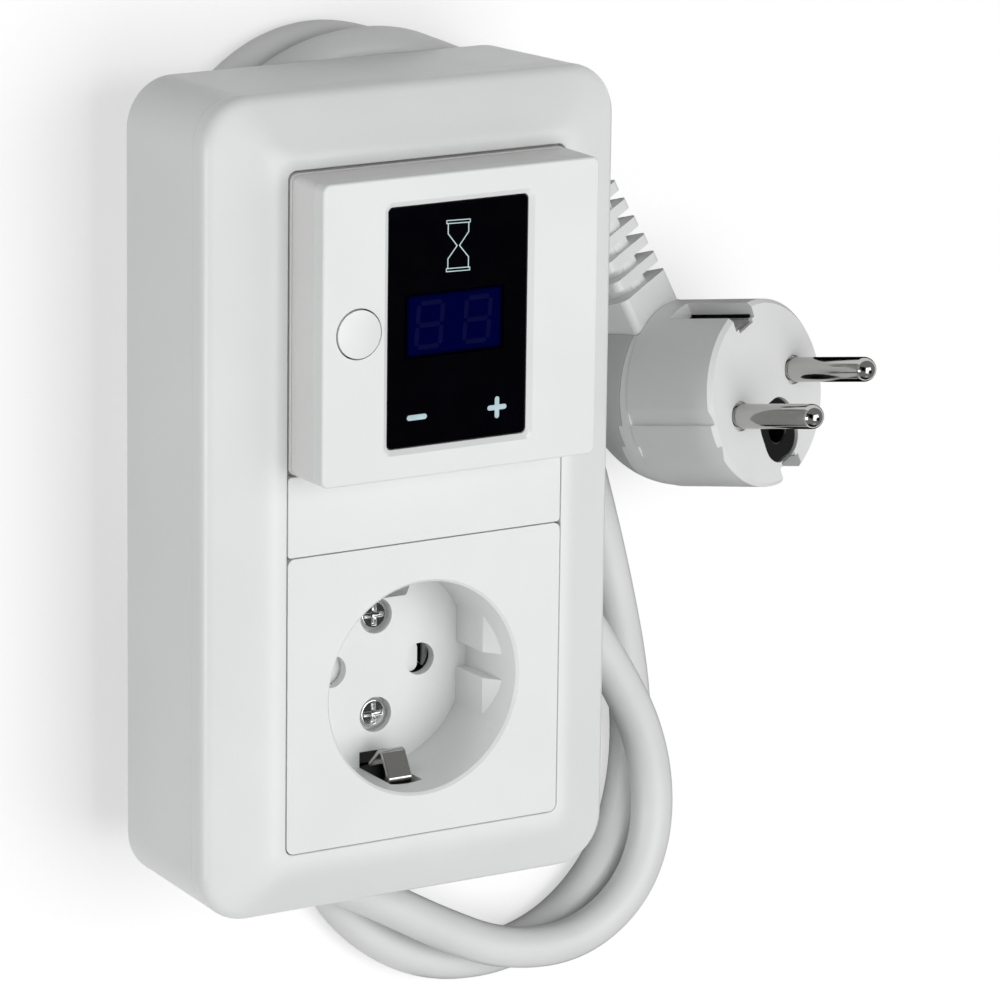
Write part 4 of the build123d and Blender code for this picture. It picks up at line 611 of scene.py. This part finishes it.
# %% The cover frame
frame_rows = [
    (43.0, 76.4, 9.2, 26.5), (43.3, 76.7, 9.5, 30.8), (32.15, 66.55, 3.6, 36.8), (29.1, 63.5, 1.6, 36.8),
    (29.1, 63.5, 1.6, 34.8), (31.15, 65.55, 3.0, 34.8), (39.25, 72.65, 6.6, 29.0), (39.25, 72.65, 6.6, 23.0),
    (40.65, 74.05, 7.0, 23.0), (40.65, 74.05, 7.0, 26.5),
]
frame_radii = [0.15, 2.2, 3.4, 0.35, 0.2, 0.3, 0.5, 0.2, 0.3, 0.2]
frame_points = placed(rounded_rows(eased(frame_rows, frame_radii)))
frame_piece = grid_piece("frame_skin", frame_points, wrap_rows=True, angle=60)
frame_piece.data.materials.append(finishes["housing_white"])
stand_for(frame_piece, "cover_frame")
print("frame", len(frame_piece.data.polygons), "faces")

# %% [markdown]
# ## The timer's body
# The body below the bezel is a hollow tray. Its rows start on the inner floor, climb the inner walls, cross
# the upper edge and come down the outside over the shadow groove and the flange behind the frame. The
# rounded upper edge makes a fine dark seam under the bezel, as in the photograph.

# %% The timer's body
TIMER_Y = 35.5
housing_rows = [
    (22.2, 22.2, 0.75, 9.8), (22.2, 22.2, 0.75, 25.4), (27.0, 25.8, 0.75, 25.4), (27.0, 25.8, 0.75, 45.3),
    (28.8, 27.6, 1.5, 45.3), (28.8, 27.6, 1.5, 38.4), (28.4, 27.2, 1.1, 38.4), (28.4, 27.2, 1.1, 37.1),
    (28.8, 27.6, 1.5, 37.1), (28.8, 27.6, 1.5, 34.5), (30.8, 28.9, 1.5, 34.5), (30.8, 28.9, 1.5, 32.9),
    (28.8, 27.6, 1.5, 32.9), (28.8, 27.6, 1.5, 23.6), (24.0, 24.0, 1.5, 23.6), (24.0, 24.0, 1.5, 8.0),
]
housing_radii = [0, 0.2, 0.2, 0.2, 0.7, 0.2, 0.1, 0.1, 0.2, 0.1, 0.2, 0.2, 0.1, 0.2, 0.1, 0]
housing_points = rounded_rows(eased(housing_rows, housing_radii)) + (0.0, TIMER_Y, 0.0)
housing = grid_piece("timer_body_skin", placed(housing_points), capped=True, angle=50)
housing.data.materials.append(finishes["body_white"])
stand_for(housing, "timer_housing")
print("timer body", len(housing.data.polygons), "faces")

# %% [markdown]
# ## In the plug's grooves
# Each earth groove of the plug is dark inside, where shade falls on the contact strip, and two black angles
# beside the strip paint that shade. The plug has axes of its own, X from one pin to the other and Z the way
# they point, so a helper turns its points into the frame's. Each black angle is thin, with a foot on the
# groove's floor and a low wall, swept along the groove.

# %% Black angles beside the earth strips, as painted shade
PLUG_FACE_MIDDLE = (85.6, 7.2, 20.7)
GROOVE_FLOOR = 14.8
pin_way = Vector((0.334, 0.154, 0.930)).normalized()
pin_row = Vector((0.882, 0.312, -0.354))
pin_row = (pin_row - pin_way * pin_row.dot(pin_way)).normalized()
plug_axes = np.array([pin_row, pin_way.cross(pin_row), pin_way])
left_shade_angle = [(-3.16, 0.5), (-3.16, 0.04), (-2.36, 0.04), (-2.36, 0.16), (-3.04, 0.16), (-3.04, 0.5)]
right_shade_angle = [(3.04, 0.5), (3.04, 0.16), (2.36, 0.16), (2.36, 0.04), (3.16, 0.04), (3.16, 0.5)]
shade_angle_ends = (-14.9, -7.5, -0.9)


def plug_placed(points):
    """Points in the plug's own axes in millimetres, about the middle of its face, as metres in the frame."""
    return placed(np.asarray(points, float) @ plug_axes + PLUG_FACE_MIDDLE)


# The two black angles in each groove are painted shade.
for groove_side, side in (("upper_groove_shade", 1), ("lower_groove_shade", -1)):
    for part, section in (("left", left_shade_angle), ("right", right_shade_angle)):
        shade_angle = [[(x, side * (GROOVE_FLOOR + rise), z) for x, rise in section] for z in shade_angle_ends]
        shade_piece = grid_piece(groove_side + "_" + part, plug_placed(shade_angle), capped=True)
        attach(shade_piece, "root")
        shade_piece.data.materials.append(finishes["black_plastic"])

# %% [markdown]
# ## In the pin holes
# Beside the shutter's edge a bright spring leaf of the contact shows through the hole. It is a part of a
# funnel that widens towards the hole, bent round the hole's axis.

# %% The leaves in the pin holes
SOCKET_Y = -35.5
HOLE_X = 9.5
LEAF_HALF_ANGLE = 42
LEAF_ROWS = 15
leaf_section = np.array([
    (2.3, 12.2), (2.6, 13.4), (3.2, 14.5), (4.0, 15.3), (4.1, 15.1), (3.4, 14.3), (2.85, 13.3), (2.55, 12.2),
])


def spring_leaf(name, side):
    """The thin section of (radius, height) points, turned about the axis of one hole by the half angle each
    way from the side that faces outwards."""
    radius, height = leaf_section.T
    angle = np.radians(np.linspace(-LEAF_HALF_ANGLE, LEAF_HALF_ANGLE, LEAF_ROWS))[:, None]
    x = side * (HOLE_X + radius * np.cos(angle))
    y = SOCKET_Y + side * radius * np.sin(angle)
    points = np.stack([x, y, np.broadcast_to(height, x.shape)], axis=-1)
    leaf = grid_piece(name, placed(points), capped=True)
    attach(leaf, "root")
    leaf.data.materials.append(finishes["leaf_metal"])
    return leaf


leaves = [spring_leaf("right_hole_leaf", 1), spring_leaf("left_hole_leaf", -1)]
print("leaves", [leaf.name for leaf in leaves])

# %% [markdown]
# ## Signs under the glass
# An hourglass, a minus and a plus show pale blue under the glass, and the switched-off display is a dim blue
# field with the ghost of two digits. They are thin flat shapes just above the glass, and their colour is a
# painted glow that shines with no lamp behind it. All of them are generic signs.

# %% Flat strokes
GLASS_TOP = 47.9
FIELD_HEIGHT = GLASS_TOP + 0.04
DIGIT_HEIGHT = GLASS_TOP + 0.07
SIGN_HEIGHT = GLASS_TOP + 0.10
STROKE_END_STEPS = 8
SIGN_ROUGHNESS = 0.2
SIGN_SPECULAR = 0.2
SIGN_CLOUD = 0.003
SIGN_DIMMEST = 0.8
BLACK = (0.0, 0.0, 0.0, 1)


def stroke(start, end, width):
    """A flat bar with round ends from one point to another: two half circles joined by straight sides."""
    start, end = np.asarray(start, float), np.asarray(end, float)
    heading = math.atan2(*(end - start)[::-1])
    turn = np.linspace(-90, 90, STROKE_END_STEPS + 1) * math.pi / 180 + heading
    half_circle = width / 2 * np.stack([np.cos(turn), np.sin(turn)], axis=1)
    return np.vstack([end + half_circle, start - half_circle])


def chain(points, width, closed=False):
    """Strokes along a line of points."""
    ends = points[1:] + points[:1] if closed else points[1:]
    return [stroke(a, b, width) for a, b in zip(points, ends)]


def flat_shapes(name, outlines, height, finish):
    """One mesh of flat faces at a height, one face for each outline."""
    vertices, faces = [], []
    for outline in outlines:
        faces.append(list(range(len(vertices), len(vertices) + len(outline))))
        vertices += placed(np.column_stack([outline, np.full(len(outline), height)])).tolist()
    mesh = bpy.data.meshes.new(name)
    mesh.from_pydata(vertices, [], faces)
    mesh.update()
    piece = linked(name, mesh)
    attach(piece, "root")
    piece.data.materials.append(finish)
    return piece


def painted_glow(name, colour):
    """A painted glow that shines with no lamp behind it: an even glow with slow changes over a few
    millimetres.
    """
    material, tree, shader, where = surface(name)
    dim = tuple(c * SIGN_DIMMEST for c in colour)
    shade = toned(tree, ranged(tree, noise(tree, where, SIGN_CLOUD)), dim, colour)
    tree.links.new(shade, shader.inputs["Emission Color"])
    shader.inputs["Emission Strength"].default_value = 1.0
    shader.inputs["Base Color"].default_value = BLACK
    shader.inputs["Roughness"].default_value = SIGN_ROUGHNESS
    shader.inputs["Specular IOR Level"].default_value = SIGN_SPECULAR
    return material


print("helpers for signs ready")

# %% The hourglass, the minus and the plus
END_BAR_LINE = 0.17
GLASS_LINE = 0.2
MINUS_LINE = 1.0
PLUS_LINE = 0.95
top_bar = [(-3.05, 54.2), (1.85, 54.05), (1.85, 53.5), (-3.05, 53.65)]
low_bar = [(-3.05, 45.45), (1.85, 45.3), (1.85, 44.75), (-3.05, 44.9)]
left_wall = [(-2.75, 53.6), (-2.75, 51.8), (-0.85, 49.45), (-2.75, 47.2), (-2.75, 45.4)]
right_wall = [(1.55, 53.5), (1.55, 51.8), (-0.35, 49.45), (1.55, 47.2), (1.55, 45.2)]
hourglass_lines = chain(top_bar, END_BAR_LINE, closed=True) + chain(low_bar, END_BAR_LINE, closed=True)
hourglass_lines += chain(left_wall, GLASS_LINE) + chain(right_wall, GLASS_LINE)
minus_lines = [stroke((-10.5, 18.85), (-7.3, 18.85), MINUS_LINE)]
plus_lines = [stroke((6.4, 18.8), (9.5, 18.8), PLUS_LINE), stroke((7.95, 17.25), (7.95, 20.35), PLUS_LINE)]
# The pale blue of the signs is a painted glow, not light from a lamp.
sign_glow = painted_glow("sign_painted_glow", (0.52, 0.66, 0.72))
hourglass_glow = painted_glow("hourglass_painted_glow", (0.60, 0.75, 0.78))
signs = [
    flat_shapes("hourglass_sign", hourglass_lines, SIGN_HEIGHT, hourglass_glow),
    flat_shapes("minus_sign", minus_lines, SIGN_HEIGHT, sign_glow),
    flat_shapes("plus_sign", plus_lines, SIGN_HEIGHT, sign_glow),
]
print("signs", [sign.name for sign in signs])

# %% [markdown]
# The display is a dim blue field of painted glow whose edges fade, so its material reads how far a point lies
# from the field's middle. The two digits are seven bars each, a painted glow hardly brighter than the field.

# %% The display field
FIELD_MIDDLE = (-0.0012, 0.0356)
FIELD_HALF_SIZES = (0.0096, 0.0053)
FIELD_SOFT_EDGE = 0.0005
FIELD_EDGE_COLOUR = (0.0002, 0.0002, 0.0010)
FIELD_COLOUR = (0.0002, 0.0008, 0.032)
field_outline = np.array([(-11.6, 29.6), (9.2, 29.6), (9.2, 41.4), (-11.6, 41.4)])


def fading(tree, value, middle, half):
    """One inside a half width about a middle, none outside, with a soft step between them."""
    distance = combined(tree, "ABSOLUTE", combined(tree, "SUBTRACT", value, middle))
    step = tree.nodes.new("ShaderNodeMapRange")
    step.interpolation_type = "SMOOTHSTEP"
    step.inputs["From Min"].default_value = half + FIELD_SOFT_EDGE
    step.inputs["From Max"].default_value = half - FIELD_SOFT_EDGE
    tree.links.new(distance, step.inputs["Value"])
    return step.outputs["Result"]


# The display field's dim blue is a painted glow.
field_glow, tree, shader, where = surface("display_painted_glow")
axes = tree.nodes.new("ShaderNodeSeparateXYZ")
tree.links.new(where, axes.inputs[0])
within_x = fading(tree, axes.outputs["X"], FIELD_MIDDLE[0], FIELD_HALF_SIZES[0])
within_y = fading(tree, axes.outputs["Y"], FIELD_MIDDLE[1], FIELD_HALF_SIZES[1])
within = combined(tree, "MULTIPLY", within_x, within_y)
tree.links.new(toned(tree, within, FIELD_EDGE_COLOUR, FIELD_COLOUR), shader.inputs["Emission Color"])
shader.inputs["Emission Strength"].default_value = 1.0
shader.inputs["Base Color"].default_value = BLACK
shader.inputs["Roughness"].default_value = SIGN_ROUGHNESS
shader.inputs["Specular IOR Level"].default_value = 0.0
field = flat_shapes("display_field", [field_outline], FIELD_HEIGHT, field_glow)
print("display field", len(field.data.vertices), "corners")

# %% The digits on the display
DIGIT_MIDDLE_Y = 35.6
DIGIT_WIDTH = 5.0
DIGIT_LENGTH = 8.0
DIGIT_LEAN = 0.6
DIGIT_LINE = 0.9
DIGIT_TRIM = 0.75


def digit_eight(middle_x):
    """The seven bars of a digit eight, upright ones leaning a little, and all trimmed at both ends."""
    spots = {}
    for row in (-1, 0, 1):
        for column in (-1, 1):
            x = middle_x + column * DIGIT_WIDTH / 2 + row * DIGIT_LEAN / 2
            spots[row, column] = np.array([x, DIGIT_MIDDLE_Y + row * DIGIT_LENGTH / 2])
    pairs = [((row, -1), (row, 1)) for row in (-1, 0, 1)]
    pairs += [((row, column), (row + 1, column)) for column in (-1, 1) for row in (-1, 0)]
    bars = []
    for first, second in pairs:
        start, end = spots[first], spots[second]
        trim = (end - start) / np.linalg.norm(end - start) * DIGIT_TRIM
        bars.append(stroke(start + trim, end - trim, DIGIT_LINE))
    return bars


# The digits are a painted glow too.
digit_glow = painted_glow("digit_painted_glow", (0.0004, 0.0012, 0.038))
digits = flat_shapes("display_digits", digit_eight(-6.4) + digit_eight(3.6), DIGIT_HEIGHT, digit_glow)
print("display digits", len(digits.data.polygons))

# %% [markdown]
# ## Closing
# The scene is brought up to date at the end.

bpy.context.view_layer.update()
